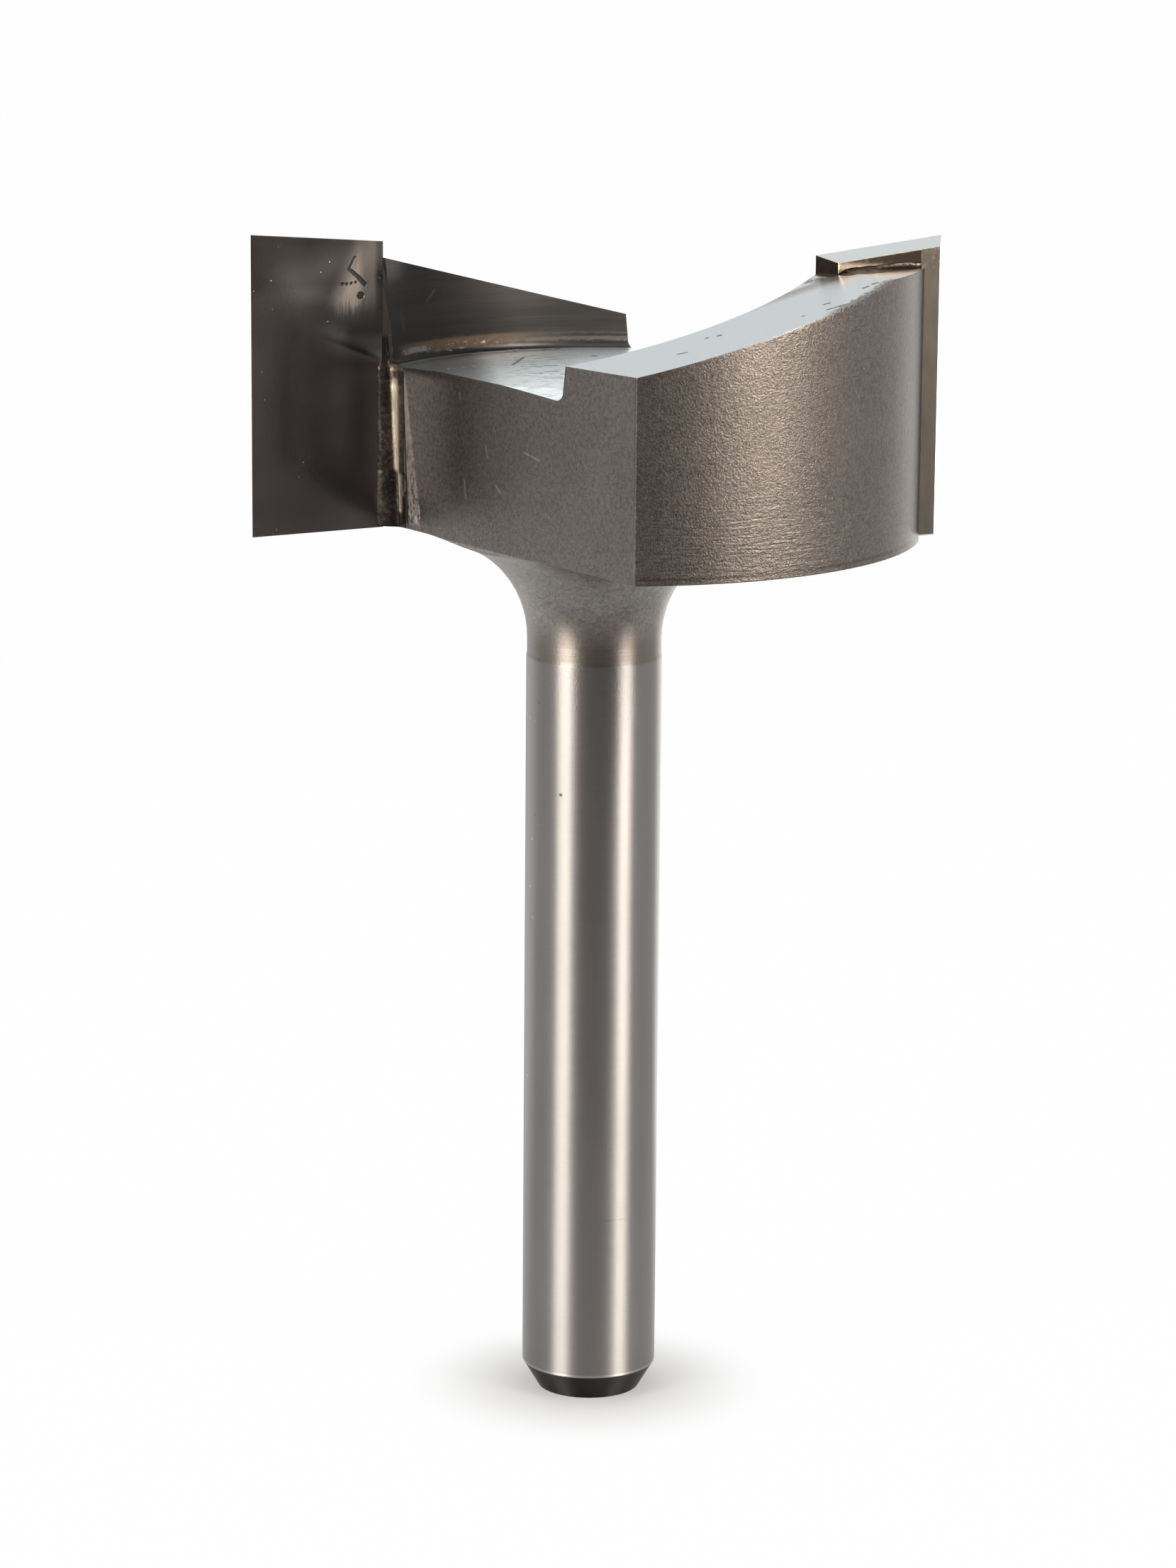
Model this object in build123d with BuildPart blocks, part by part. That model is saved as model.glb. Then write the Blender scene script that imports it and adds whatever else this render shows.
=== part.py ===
from build123d import *
import math
import os

os.makedirs("parts", exist_ok=True)

# Mortise router bit, right-hand cut, two flutes. Z runs up the tool's axis from the centre of the
# shank's end, and the two cutting corners lie on X. The right-hand half is described, and half a
# turn about Z gives the other one.

# Shank, neck and head disc, in millimetres
shank_diameter = 6.35
shank_length = 35.87         # ground length, foot to neck
foot_chamfer_height = 1.27
foot_chamfer_inset = 0.76
neck_diameter = 6.28
neck_length = 0.67
neck_shoulder = 0.2          # short cone where the ground shank runs out into the neck
flare_radius = 4.84          # concave sweep from the neck out to the head's underside
head_thickness = 12.7
cutter_overrun = 14.0        # how far a milling or grinding cut runs past the work

# Carbide tip
cutting_diameter = 31.75
hook_angle = 24.0            # rake face against the radius through its cutting corner
tip_width = 6.7
tip_thickness = 1.6
tip_height = 14.0
tip_drop = 0.08              # how far the tip stands below the head's underside
tip_dish_angle = 5.2         # bottom-cutting edge falls towards the axis
tip_end_relief = 7.5         # top face falls behind its cutting edge
tip_side_relief = 9.7        # outer face falls behind its cutting edge
tip_foot_relief = 13.7       # bottom face rises behind the rake face
tip_end_lean = 8.4           # inner end, and the gullet face beside it, against the tip's thickness

# Brazed joint
braze_film = 0.1             # behind the tip
braze_end_film = 0.39        # at the tip's inner end
braze_corner_leg = 1.28      # run of the corner fillet along the gullet face
braze_corner_lap = 0.15      # and over the rake face
braze_corner_hollow = 0.05   # depth of its concave face
braze_bead_height = 0.2      # bead behind the tip, up the carbide
braze_bead_width = 0.8       # and out over the steel
braze_bead_hollow = 0.08

# Wings
wing_back_inset = 1.28       # its radius is this much under the cutting radius
wing_back_offset = 1.57      # centre of the relieved back from the axis
wing_back_bearing = 63.9     # and its direction
ramp_tilt = 14.6
ramp_bearing = 27.2          # uphill direction of the sloping top
land_distance = 7.99         # where the slope leaves the flat land beside the tip

# Pocket between the wings
pocket_depth = 5.02          # flat middle of the floor below the land
pocket_radius = 11.28        # of a wing's inner wall, at its foot
pocket_centre_offset = 2.73  # the wall is swept about a point this far from the axis
pocket_centre_bearing = 104.0
pocket_flat_radius = 8.2
pocket_dip_angle = 3.8       # floor falls towards the wall beyond the flat
pocket_wall_lean = 6.6
pocket_foot_radius = 0.4

# Heights and radii that follow
shank_radius = shank_diameter / 2
neck_radius = neck_diameter / 2
cutting_radius = cutting_diameter / 2
wing_back_radius = cutting_radius - wing_back_inset
flare_start = shank_length + neck_length
head_underside = flare_start + flare_radius
head_top = head_underside + head_thickness
tip_bottom = head_underside - tip_drop
tip_top = tip_bottom + tip_height
pocket_floor = head_top - pocket_depth

# Directions at the right-hand tip: up, inward along the rake face, square behind it, and inward
# along the gullet face that runs on from its inner end
up = Vector(0, 0, 1)
inward = Vector(-math.cos(math.radians(hook_angle)), -math.sin(math.radians(hook_angle)))
behind = inward.rotate(Axis.Z, 90)
gullet_run = behind.rotate(Axis.Z, tip_end_lean)
cutting_corner = Vector(cutting_radius, 0)


def rise(angle):
    """Height gained over a unit run at an angle in degrees."""
    return up * math.tan(math.radians(angle))


def beside_tip(along, depth):
    """A point in plan, measured from the cutting corner along the rake face and behind it."""
    return cutting_corner + inward * along + behind * depth


def reach_circle(start, direction, centre, radius):
    """Where a run from a point inside a circle leaves it."""
    offset = start - centre
    along = offset.dot(direction)
    return start + direction * (math.sqrt(along**2 - offset.dot(offset) + radius**2) - along)


def half_turn(point):
    """The same point on the other wing."""
    return point.rotate(Axis.Z, 180)


# Corners of the head in plan
wing_centre = Vector(wing_back_offset, 0).rotate(Axis.Z, wing_back_bearing)
pocket_centre = Vector(pocket_centre_offset, 0).rotate(Axis.Z, pocket_centre_bearing)
seat_depth = tip_thickness + braze_film
lean_cosine = math.cos(math.radians(tip_end_lean))
gullet_start = beside_tip(tip_width + braze_end_film / lean_cosine, 0)
seat_inner = gullet_start + gullet_run * (seat_depth / lean_cosine)
seat_outer = reach_circle(seat_inner, -inward, wing_centre, wing_back_radius)
far_heel = reach_circle(gullet_start, -gullet_run, half_turn(wing_centre), wing_back_radius)
near_heel = half_turn(far_heel)
back_chord_middle = (seat_outer + near_heel) * 0.5 - wing_centre
back_middle = wing_centre + back_chord_middle.normalized() * wing_back_radius

# Right wing's share of the pocket, as the cutter sweeps it about the pocket's centre
with BuildPart() as pocket_sweep:
    wall_top = pocket_floor + cutter_overrun
    dip = (pocket_radius - pocket_flat_radius) * rise(pocket_dip_angle).Z
    wall_run = (wall_top - pocket_floor + dip) * rise(pocket_wall_lean).Z
    across = pocket_centre.normalized()
    with BuildSketch(Plane(origin=pocket_centre, x_dir=across, z_dir=across.cross(up))):
        with BuildLine():
            Polyline(
                (0, pocket_floor),
                (pocket_flat_radius, pocket_floor),
                (pocket_radius, pocket_floor - dip),
                (pocket_radius + wall_run, wall_top),
                (0, wall_top),
                close=True,
            )
        make_face()
        wall_foot = vertices().sort_by(Axis.Y)[0]
        fillet(wall_foot, radius=pocket_foot_radius)
    revolve(axis=Axis(pocket_centre, up))
    split(bisect_by=Plane(origin=(0, 0, 0), z_dir=across), keep=Keep.BOTTOM)

# Everything above the right wing's sloping top
with BuildPart() as ramp_cut:
    uphill = Vector(1, 0).rotate(Axis.Z, ramp_bearing)
    ramp_plane = Plane(
        origin=uphill * land_distance + up * head_top,
        x_dir=uphill.rotate(Axis.Z, 90),
        z_dir=up - uphill * rise(ramp_tilt).Z,
    )
    with BuildSketch(ramp_plane):
        Rectangle(cutting_diameter, cutting_diameter, align=(Align.MAX, Align.MIN))
    extrude(amount=cutter_overrun)


def cut_both_tops():
    """Mill the ramps and the pocket of both wings out of the piece being built."""
    with PolarLocations(0, 2):
        add(ramp_cut.part, mode=Mode.SUBTRACT)
        add(pocket_sweep.part, mode=Mode.SUBTRACT)


# Steel body: turned shank and disc, then gullets, seats, relieved backs, ramps and pocket
with BuildPart() as tool_body:
    with BuildSketch(Plane.XZ):
        with BuildLine():
            Polyline(
                (0, 0),
                (shank_radius - foot_chamfer_inset, 0),
                (shank_radius, foot_chamfer_height),
                (shank_radius, shank_length - neck_shoulder),
                (neck_radius, shank_length),
                (neck_radius, flare_start),
            )
            flare_end = (neck_radius + flare_radius, head_underside)
            TangentArc((neck_radius, flare_start), flare_end, tangent=(0, 1))
            Polyline(
                flare_end,
                (cutting_radius, head_underside),
                (cutting_radius, head_top),
                (0, head_top),
                (0, 0),
            )
        make_face()
    revolve(axis=Axis.Z)
    with BuildSketch(Plane.XY.offset(flare_start)):
        Circle(cutting_radius + cutter_overrun)
        with BuildLine():
            for place in (lambda point: point, half_turn):
                Polyline(place(far_heel), place(seat_inner), place(seat_outer))
                ThreePointArc(place(seat_outer), place(back_middle), place(near_heel))
        make_face(mode=Mode.SUBTRACT)
    extrude(amount=head_top - flare_start, mode=Mode.SUBTRACT)
    cut_both_tops()
tool_body.part.label = "tool_body"

# Carbide tip: a flat blank, ground on its outer face, its top and its foot
with BuildPart() as carbide_tip:
    inner_back = tip_width - tip_thickness * rise(tip_end_lean).Z
    outer_back = tip_thickness * rise(hook_angle + tip_side_relief).Z
    with BuildSketch(Plane.XY.offset(tip_bottom)):
        with BuildLine():
            Polyline(
                beside_tip(0, 0),
                beside_tip(tip_width, 0),
                beside_tip(inner_back, tip_thickness),
                beside_tip(outer_back, tip_thickness),
                close=True,
            )
        make_face()
    extrude(amount=tip_height)
    end_edge = inward - rise(tip_dish_angle)
    end_normal = end_edge.cross(behind - rise(tip_end_relief))
    end_plane = Plane(origin=cutting_corner + up * tip_top, x_dir=end_edge, z_dir=end_normal)
    foot_normal = (behind + rise(tip_foot_relief)).cross(inward)
    foot_plane = Plane(origin=cutting_corner + up * tip_bottom, x_dir=inward, z_dir=foot_normal)
    for ground_plane in (end_plane, foot_plane):
        with BuildSketch(ground_plane):
            Rectangle(cutting_diameter, cutting_diameter)
        extrude(amount=cutter_overrun, mode=Mode.SUBTRACT)

# Braze: a film behind the tip and at its inner end, a fillet in the corner and a bead behind the top
with BuildPart() as braze:
    with BuildSketch(Plane.XY.offset(head_underside)):
        lap_end = beside_tip(tip_width - braze_corner_lap, 0)
        corner_end = gullet_start - gullet_run * braze_corner_leg
        film_outer = seat_outer - behind * braze_film
        with BuildLine():
            SagittaArc(lap_end, corner_end, braze_corner_hollow)
            Polyline(
                corner_end,
                seat_inner,
                seat_outer,
                film_outer,
                beside_tip(inner_back, tip_thickness),
                beside_tip(tip_width, 0),
                lap_end,
            )
        make_face()
    extrude(amount=head_thickness)
    cut_both_tops()
    bead_length = (beside_tip(inner_back, tip_thickness) - film_outer).dot(inward)
    with BuildSketch(Plane(origin=film_outer + up * head_top, x_dir=behind, z_dir=inward)):
        with BuildLine():
            SagittaArc((braze_bead_width, 0), (0, braze_bead_height), braze_bead_hollow)
            Polyline(
                (0, braze_bead_height),
                (0, -braze_bead_height),
                (braze_bead_width, -braze_bead_height),
                (braze_bead_width, 0),
            )
        make_face()
    extrude(amount=bead_length)
    with BuildSketch(Plane.XY.offset(head_underside)):
        with Locations(wing_centre):
            Circle(wing_back_radius)
    extrude(amount=tip_top - head_underside, mode=Mode.INTERSECT)
    add(tool_body.part, mode=Mode.SUBTRACT)

for side, turn in (("right", 0), ("left", 180)):
    for name, piece in (("carbide_tip", carbide_tip.part), ("braze", braze.part)):
        turned = piece.rotate(Axis.Z, turn)
        turned.label = f"{name}_{side}"
        export_step(turned, f"parts/{turned.label}.step")
export_step(tool_body.part, "parts/tool_body.step")
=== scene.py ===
import logging
import math
from dataclasses import dataclass, field
from enum import Enum
from typing import Sequence, Union

import bmesh
import bpy
from mathutils import Matrix, Vector, noise


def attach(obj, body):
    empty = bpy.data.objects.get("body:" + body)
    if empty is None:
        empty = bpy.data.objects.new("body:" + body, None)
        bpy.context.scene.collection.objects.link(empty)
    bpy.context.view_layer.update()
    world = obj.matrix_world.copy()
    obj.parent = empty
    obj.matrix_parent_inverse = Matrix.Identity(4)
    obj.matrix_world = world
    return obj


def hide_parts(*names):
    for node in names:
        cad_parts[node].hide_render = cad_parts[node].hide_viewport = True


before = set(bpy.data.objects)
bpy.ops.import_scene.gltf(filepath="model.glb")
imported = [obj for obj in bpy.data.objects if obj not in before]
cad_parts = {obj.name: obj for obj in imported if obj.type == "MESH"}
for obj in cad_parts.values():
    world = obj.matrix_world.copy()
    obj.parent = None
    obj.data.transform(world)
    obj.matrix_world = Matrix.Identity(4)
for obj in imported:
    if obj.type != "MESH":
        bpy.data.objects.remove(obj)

logging.basicConfig(level=logging.INFO, format="%(name)s: %(message)s")
log = logging.getLogger("router_bit")

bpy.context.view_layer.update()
MM = 0.001
# The shine value says how bare of flux the solder is, and where a highlight is painted on it.
SHINE = "shine"                      # the solder meshes' own value, which their finish reads
Number = Union[int, float]
Colour = tuple[float, float, float]
Point = tuple[float, float]
Step = tuple[float, float]           # where a smooth step starts and where it is full
Band = tuple[float, float, float]    # middle, half width and fade of a soft band
Knot = tuple[float, float, float]    # what the solder's sections and bead run through
Grid = list[list[Vector]]
WHITE: Colour = (1.0, 1.0, 1.0)


class Ray(Enum):
    """Kinds of ray that see the white studio instead of its lamps' light."""

    CAMERA = "Is Camera Ray"
    GLOSSY = "Is Glossy Ray"
    TRANSMISSION = "Is Transmission Ray"


class Side(Enum):
    """The bit's two halves, with the sign that half a turn gives a point in plan."""

    RIGHT = 1
    LEFT = -1

    @property
    def word(self) -> str:
        """The half's name as the nodes spell it."""
        return self.name.lower()


class Field:
    """A number over a surface: one shader socket that takes part in Python expressions."""

    def __init__(self, bench: "Bench", socket: bpy.types.NodeSocket) -> None:
        """Wrap an output socket of a node on a bench."""
        self.bench = bench
        self.socket = socket

    def _math(self, operation: str, *values: Union["Field", Number]) -> "Field":
        """Add one Math node.

        Args:
            operation: the node's operation.
            values: its inputs, in order.

        Returns:
            The node's result.
        """
        made = self.bench.node("ShaderNodeMath", {"operation": operation}, dict(enumerate(values)))
        return Field(self.bench, made.outputs[0])

    def __add__(self, other: Union["Field", Number]) -> "Field":
        """Sum."""
        return self._math("ADD", self, other)

    __radd__ = __add__

    def __sub__(self, other: Union["Field", Number]) -> "Field":
        """Difference."""
        return self._math("SUBTRACT", self, other)

    def __rsub__(self, other: Number) -> "Field":
        """Difference from a number."""
        return self._math("SUBTRACT", other, self)

    def __mul__(self, other: Union["Field", Number]) -> "Field":
        """Product."""
        return self._math("MULTIPLY", self, other)

    __rmul__ = __mul__

    def __abs__(self) -> "Field":
        """Size without the sign."""
        return self._math("ABSOLUTE", self)

    def root(self) -> "Field":
        """Square root."""
        return self._math("SQRT", self)

    def least(self, other: Union["Field", Number]) -> "Field":
        """The smaller of two."""
        return self._math("MINIMUM", self, other)

    def most(self, other: Union["Field", Number]) -> "Field":
        """The larger of two."""
        return self._math("MAXIMUM", self, other)

    def angle(self, across: "Field") -> "Field":
        """Angle in radians of a vector with this height and the other part across."""
        return self._math("ARCTAN2", self, across)

    def ramp(self, low: Number, high: Number) -> "Field":
        """Smooth step from 0 at low to 1 at high; low may be the larger.

        Args:
            low: where the step begins.
            high: where it ends.

        Returns:
            The step, from 0 to 1.
        """
        start, end = (low, high) if low < high else (high, low)
        made = self.bench.node(
            "ShaderNodeMapRange",
            {"interpolation_type": "SMOOTHSTEP", "clamp": True},
            {"Value": self, "From Min": start, "From Max": end},
        )
        step = Field(self.bench, made.outputs["Result"])
        return step if low < high else 1 - step

    def near(self, value: Number, width: Number, soft: Number) -> "Field":
        """A band around a value: 1 within width, falling to 0 over soft."""
        return abs(self - value).ramp(width + soft, width)


class Bench:
    """Where one material's nodes are made and joined."""

    def __init__(self, tree: bpy.types.NodeTree) -> None:
        """Clear a material's or the world's node tree and work in it."""
        self.tree = tree
        tree.nodes.clear()

    def node(self, kind: str, settings: dict | None = None, sockets: dict | None = None) -> bpy.types.Node:
        """Add any node.

        Args:
            kind: the node's type.
            settings: its properties, set first; (place, colour) pairs under "stops" set a ramp's.
            sockets: values or links of its inputs, by name or number.

        Returns:
            The new node.
        """
        made = self.tree.nodes.new(kind)
        for name, value in (settings or {}).items():
            if name == "stops":
                self._set_stops(made.color_ramp, value)
            else:
                setattr(made, name, value)
        for name, value in (sockets or {}).items():
            if isinstance(value, Field):
                self.tree.links.new(value.socket, made.inputs[name])
            elif isinstance(value, bpy.types.NodeSocket):
                self.tree.links.new(value, made.inputs[name])
            elif isinstance(value, tuple) and made.inputs[name].type == "RGBA":
                made.inputs[name].default_value = (*value, 1.0)
            else:
                made.inputs[name].default_value = value
        return made

    @staticmethod
    def _set_stops(ramp: bpy.types.ColorRamp, stops: Sequence[tuple[float, Colour]]) -> None:
        """Give a colour ramp its stops.

        Args:
            ramp: the ramp of a new node.
            stops: each stop's place, from 0 to 1, and colour.
        """
        while len(ramp.elements) > 1:
            ramp.elements.remove(ramp.elements[-1])
        for number, (place, colour) in enumerate(stops):
            element = ramp.elements[0] if number == 0 else ramp.elements.new(place)
            element.position = place
            element.color = (*colour, 1.0)

    def _parts(self, vector: bpy.types.NodeSocket) -> tuple[Field, Field, Field]:
        """The three numbers of a vector socket."""
        parts = self.node("ShaderNodeSeparateXYZ", {}, {0: vector})
        return tuple(Field(self, out) for out in parts.outputs)

    def spot(self) -> "Spot":
        """Find the point being shaded.

        Returns:
            The point, in millimetres in the row frame.
        """
        where = self.node("ShaderNodeTexCoord").outputs["Object"]
        scaled = self.node("ShaderNodeVectorMath", {"operation": "SCALE"}, {0: where, "Scale": 1 / MM})
        return Spot(self, *self._parts(scaled.outputs[0]))

    def facing(self) -> tuple[Field, Field, Field]:
        """The flat face's normal."""
        return self._parts(self.node("ShaderNodeNewGeometry").outputs["True Normal"])

    def vector(self, x: Field | Number, y: Field | Number, z: Field | Number) -> bpy.types.NodeSocket:
        """Three numbers as one vector socket."""
        return self.node("ShaderNodeCombineXYZ", {}, {0: x, 1: y, 2: z}).outputs[0]

    def noise(self, where: bpy.types.NodeSocket, scale: float, detail: float = 2.0,
              rough: float = 0.5) -> Field:
        """Smooth noise from about 0.25 to 0.75.

        Args:
            where: the vector that it is drawn over, in millimetres.
            scale: features per millimetre.
            detail: octaves of finer noise.
            rough: how strong the finer octaves are.

        Returns:
            The noise.
        """
        sockets = {"Vector": where, "Scale": scale, "Detail": detail, "Roughness": rough}
        return Field(self, self.node("ShaderNodeTexNoise", {}, sockets).outputs["Fac"])

    def cells(self, where: bpy.types.NodeSocket, scale: float) -> Field:
        """Distance in cells to the nearest of scattered points, with scale points per millimetre."""
        made = self.node("ShaderNodeTexVoronoi", {}, {"Vector": where, "Scale": scale, "Randomness": 1.0})
        return Field(self, made.outputs["Distance"])

    def blend(self, amount: Field | Number, low: Colour | bpy.types.NodeSocket,
              high: Colour | bpy.types.NodeSocket) -> bpy.types.NodeSocket:
        """Mix two colours.

        Args:
            amount: 0 for the first, 1 for the second.
            low: the first colour, as numbers or a socket.
            high: the second colour.

        Returns:
            The mixed colour's socket.
        """
        made = self.node("ShaderNodeMix", {"data_type": "RGBA"}, {0: amount, 6: low, 7: high})
        return made.outputs[2]

    def scaled(self, colour: bpy.types.NodeSocket | Colour, amount: Field) -> bpy.types.NodeSocket:
        """A colour made lighter or darker by a factor."""
        made = self.node("ShaderNodeVectorMath", {"operation": "SCALE"}, {0: colour, "Scale": amount})
        return made.outputs[0]

    def _vector_math(self, operation: str, **values: bpy.types.NodeSocket | Field | tuple) -> bpy.types.Node:
        """Add one Vector Math node.

        Args:
            operation: the node's operation.
            values: its inputs, named a, b and Scale.

        Returns:
            The new node.
        """
        places = {"a": 0, "b": 1}
        sockets = {places.get(name, name): value for name, value in values.items()}
        return self.node("ShaderNodeVectorMath", {"operation": operation}, sockets)

    def from_line(self, where: bpy.types.NodeSocket, start: Point, end: Point) -> Field:
        """Distance from a straight stroke on a face.

        Args:
            where: the point, with its two coordinates on the face first.
            start: the stroke's first end.
            end: its other end.

        Returns:
            The distance.
        """
        run = Vector((end[0] - start[0], end[1] - start[1], 0.0))
        offset = self._vector_math("SUBTRACT", a=where, b=(*start, 0.0)).outputs[0]
        along = self._vector_math("DOT_PRODUCT", a=offset, b=tuple(run / run.length_squared))
        share = self.node("ShaderNodeMath", {"operation": "ADD", "use_clamp": True},
                          {0: along.outputs["Value"], 1: 0.0}).outputs[0]
        nearest = self._vector_math("SCALE", a=tuple(run), Scale=share).outputs[0]
        return Field(self, self._vector_math("DISTANCE", a=offset, b=nearest).outputs["Value"])

    def marks(self, where: bpy.types.NodeSocket, marks: Sequence["Mark"], soft: float) -> Field:
        """Mask of several strokes.

        Args:
            where: the point, with its two coordinates on the face first.
            marks: the strokes.
            soft: how far their edges fade.

        Returns:
            The mask, 1 on a stroke.
        """
        masks = [self.from_line(where, mark.start, mark.end).ramp(mark.width + soft, mark.width)
                 for mark in marks]
        whole = masks[0]
        for mask in masks[1:]:
            whole = whole.most(mask)
        return whole

    def rounded(self, radius: float) -> bpy.types.NodeSocket:
        """Normals that round the edges over a radius in millimetres."""
        return self.node("ShaderNodeBevel", {"samples": 4}, {"Radius": radius * MM}).outputs[0]

    def bumped(self, height: Field, depth: float,
               under: bpy.types.NodeSocket | None = None) -> bpy.types.NodeSocket:
        """Normals of a relief.

        Args:
            height: the relief, where 1 is depth high.
            depth: the height of 1, in millimetres.
            under: normals that the relief stands on, if not the mesh's own.

        Returns:
            The normal socket.
        """
        sockets = {"Strength": 1.0, "Distance": depth * MM, "Height": height}
        if under is not None:
            sockets["Normal"] = under
        return self.node("ShaderNodeBump", {}, sockets).outputs["Normal"]

    def metal(self, colour: bpy.types.NodeSocket, rough: Field, normal: bpy.types.NodeSocket,
              **constants: float) -> bpy.types.NodeSocket:
        """A metal surface.

        Args:
            colour: its reflected colour.
            rough: its roughness.
            normal: its relief.
            constants: other sockets' fixed values, with _ for a space.

        Returns:
            The shader socket.
        """
        sockets = {"Base Color": colour, "Roughness": rough, "Metallic": 1.0, "Normal": normal}
        sockets.update({name.replace("_", " "): value for name, value in constants.items()})
        return self.node("ShaderNodeBsdfPrincipled", {}, sockets).outputs[0]

    def joined(self, amount: Field, low: bpy.types.NodeSocket,
               high: bpy.types.NodeSocket) -> bpy.types.NodeSocket:
        """Mix two shaders by a mask."""
        return self.node("ShaderNodeMixShader", {}, {0: amount, 1: low, 2: high}).outputs[0]

    def glow(self, radiance: Colour) -> bpy.types.NodeSocket:
        """A surface that only gives light."""
        return self.node("ShaderNodeEmission", {}, {"Color": radiance, "Strength": 1.0}).outputs[0]

    def show(self, surface: bpy.types.NodeSocket, kind: str = "Material") -> None:
        """Make a shader the material's or the world's surface."""
        self.node(f"ShaderNodeOutput{kind}", {}, {"Surface": surface})

    def studio_rays(self) -> Field:
        """Tell the rays that see the white studio.

        Returns:
            1 for those rays, and 0 for the rest.
        """
        path = self.node("ShaderNodeLightPath")
        camera, glossy, through = (Field(self, path.outputs[ray.value]) for ray in Ray)
        return camera.most(glossy).most(through)


@dataclass(frozen=True)
class Spot:
    """The point being shaded, in millimetres in the row frame."""

    bench: Bench
    x: Field
    y: Field
    z: Field

    def whole(self) -> bpy.types.NodeSocket:
        """The point as a vector."""
        return self.bench.vector(self.x, self.y, self.z)

    def stretched(self, plan: float, up: float) -> bpy.types.NodeSocket:
        """The point as a vector, scaled by a factor in plan and another upwards."""
        return self.bench.vector(self.x * plan, self.y * plan, self.z * up)

    def toward(self, direction: Vector) -> Field:
        """How far the point lies from the axis in a direction in plan."""
        return self.x * direction.x + self.y * direction.y

    def out_from(self, centre: Point) -> Field:
        """Distance in plan from an upright line through a point."""
        across, along = self.x - centre[0], self.y - centre[1]
        return (across * across + along * along).root()


def new_material(name: str) -> tuple[bpy.types.Material, Bench]:
    """Make a material with an empty node bench.

    Args:
        name: the material's name.

    Returns:
        The material and its bench.
    """
    material = bpy.data.materials.new(name)
    material.use_nodes = True
    return material, Bench(material.node_tree)


def new_mesh(name: str, points: Sequence[Sequence[float]],
             faces: Sequence[Sequence[int]]) -> bpy.types.Object:
    """Make a mesh object from points in millimetres.

    Args:
        name: the object's name.
        points: its corners.
        faces: corner numbers of each face.

    Returns:
        The object, linked to the scene.
    """
    mesh = bpy.data.meshes.new(name)
    mesh.from_pydata([tuple(value * MM for value in point) for point in points], [], faces)
    made = bpy.data.objects.new(name, mesh)
    bpy.context.scene.collection.objects.link(made)
    return made


@dataclass(frozen=True)
class HeadSizes:
    """Places of the head's faces, in millimetres and degrees, as the part's source has them."""

    corner_radius: float = 15.875
    hook: float = 24.0
    plate_width: float = 6.7
    plate_thickness: float = 1.6
    end_lean: float = 8.4
    side_relief: float = 9.7
    film: float = 0.1
    end_film: float = 0.39
    underside: float = 41.38
    land: float = 54.08
    gullet_bearing: float = 32.4
    back_centre: Point = (0.691, 1.411)
    back_radius: float = 14.595
    wall_centre: Point = (-0.66, 2.65)
    wall_radius: float = 11.28
    wall_lean: float = 6.6
    floor: float = 49.06
    floor_flat: float = 8.2
    ramp_tilt: float = 14.6
    ramp_bearing: float = 27.2
    ramp_start: float = 7.99

    def inward(self) -> Vector:
        """Along the right rake face, towards the axis."""
        turn = math.radians(self.hook)
        return Vector((-math.cos(turn), -math.sin(turn), 0.0))

    def behind(self) -> Vector:
        """Square behind the right rake face."""
        turn = math.radians(self.hook)
        return Vector((math.sin(turn), -math.cos(turn), 0.0))

    def corner_reach(self) -> float:
        """Distance of the cutting corner from the axis, along the rake face."""
        return self.corner_radius * math.cos(math.radians(self.hook))

    def corner_depth(self) -> float:
        """Distance of the rake face's line from the axis."""
        return self.corner_radius * math.sin(math.radians(self.hook))

    def gullet_run(self) -> Vector:
        """Along the gullet face, from the front to the seat."""
        return Matrix.Rotation(math.radians(self.end_lean), 3, "Z") @ self.behind()

    def gullet_normal(self) -> Vector:
        """Square to the right gullet face."""
        turn = math.radians(self.gullet_bearing)
        return Vector((math.cos(turn), math.sin(turn), 0.0))

    def ramp_rise(self) -> Vector:
        """Uphill on the right wing's sloping top, as long as its rise over a unit run."""
        turn = math.radians(self.ramp_bearing)
        return Vector((math.cos(turn), math.sin(turn), 0.0)) * math.tan(math.radians(self.ramp_tilt))

    def ramp_at_axis(self) -> float:
        """Height at which the sloping top's plane would cross the axis."""
        return self.land - math.tan(math.radians(self.ramp_tilt)) * self.ramp_start

    def beside_plate(self, along: float, depth: float) -> Vector:
        """A point in plan, from the right cutting corner along the rake face and behind it."""
        return Vector((self.corner_radius, 0.0, 0.0)) + self.inward() * along + self.behind() * depth

    def gullet_start(self) -> Vector:
        """Where the right gullet face meets the line of the rake face."""
        film_run = self.end_film / math.cos(math.radians(self.end_lean))
        return self.beside_plate(self.plate_width + film_run, 0.0)

    def top_at(self, spot: Vector) -> float:
        """Find the height of the right wing's milled top.

        Args:
            spot: a point in plan.

        Returns:
            The height over it.
        """
        turn = math.radians(self.ramp_bearing)
        uphill = spot.x * math.cos(turn) + spot.y * math.sin(turn)
        slope = self.land + math.tan(math.radians(self.ramp_tilt)) * (uphill - self.ramp_start)
        out = math.hypot(spot.x - self.wall_centre[0], spot.y - self.wall_centre[1]) - self.wall_radius
        wall = self.floor + max(out, 0.0) / math.tan(math.radians(self.wall_lean))
        return min(self.land, slope, wall)


@dataclass(frozen=True)
class Mark:
    """A scratch or a pit: a straight stroke between two points of a face, with its half width."""

    start: Point
    end: Point
    width: float

    @staticmethod
    def pit(x: float, y: float, radius: float) -> "Mark":
        """A round pit."""
        return Mark((x - 0.01, y), (x + 0.01, y), radius)


Marks = tuple[Mark, ...]


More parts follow.
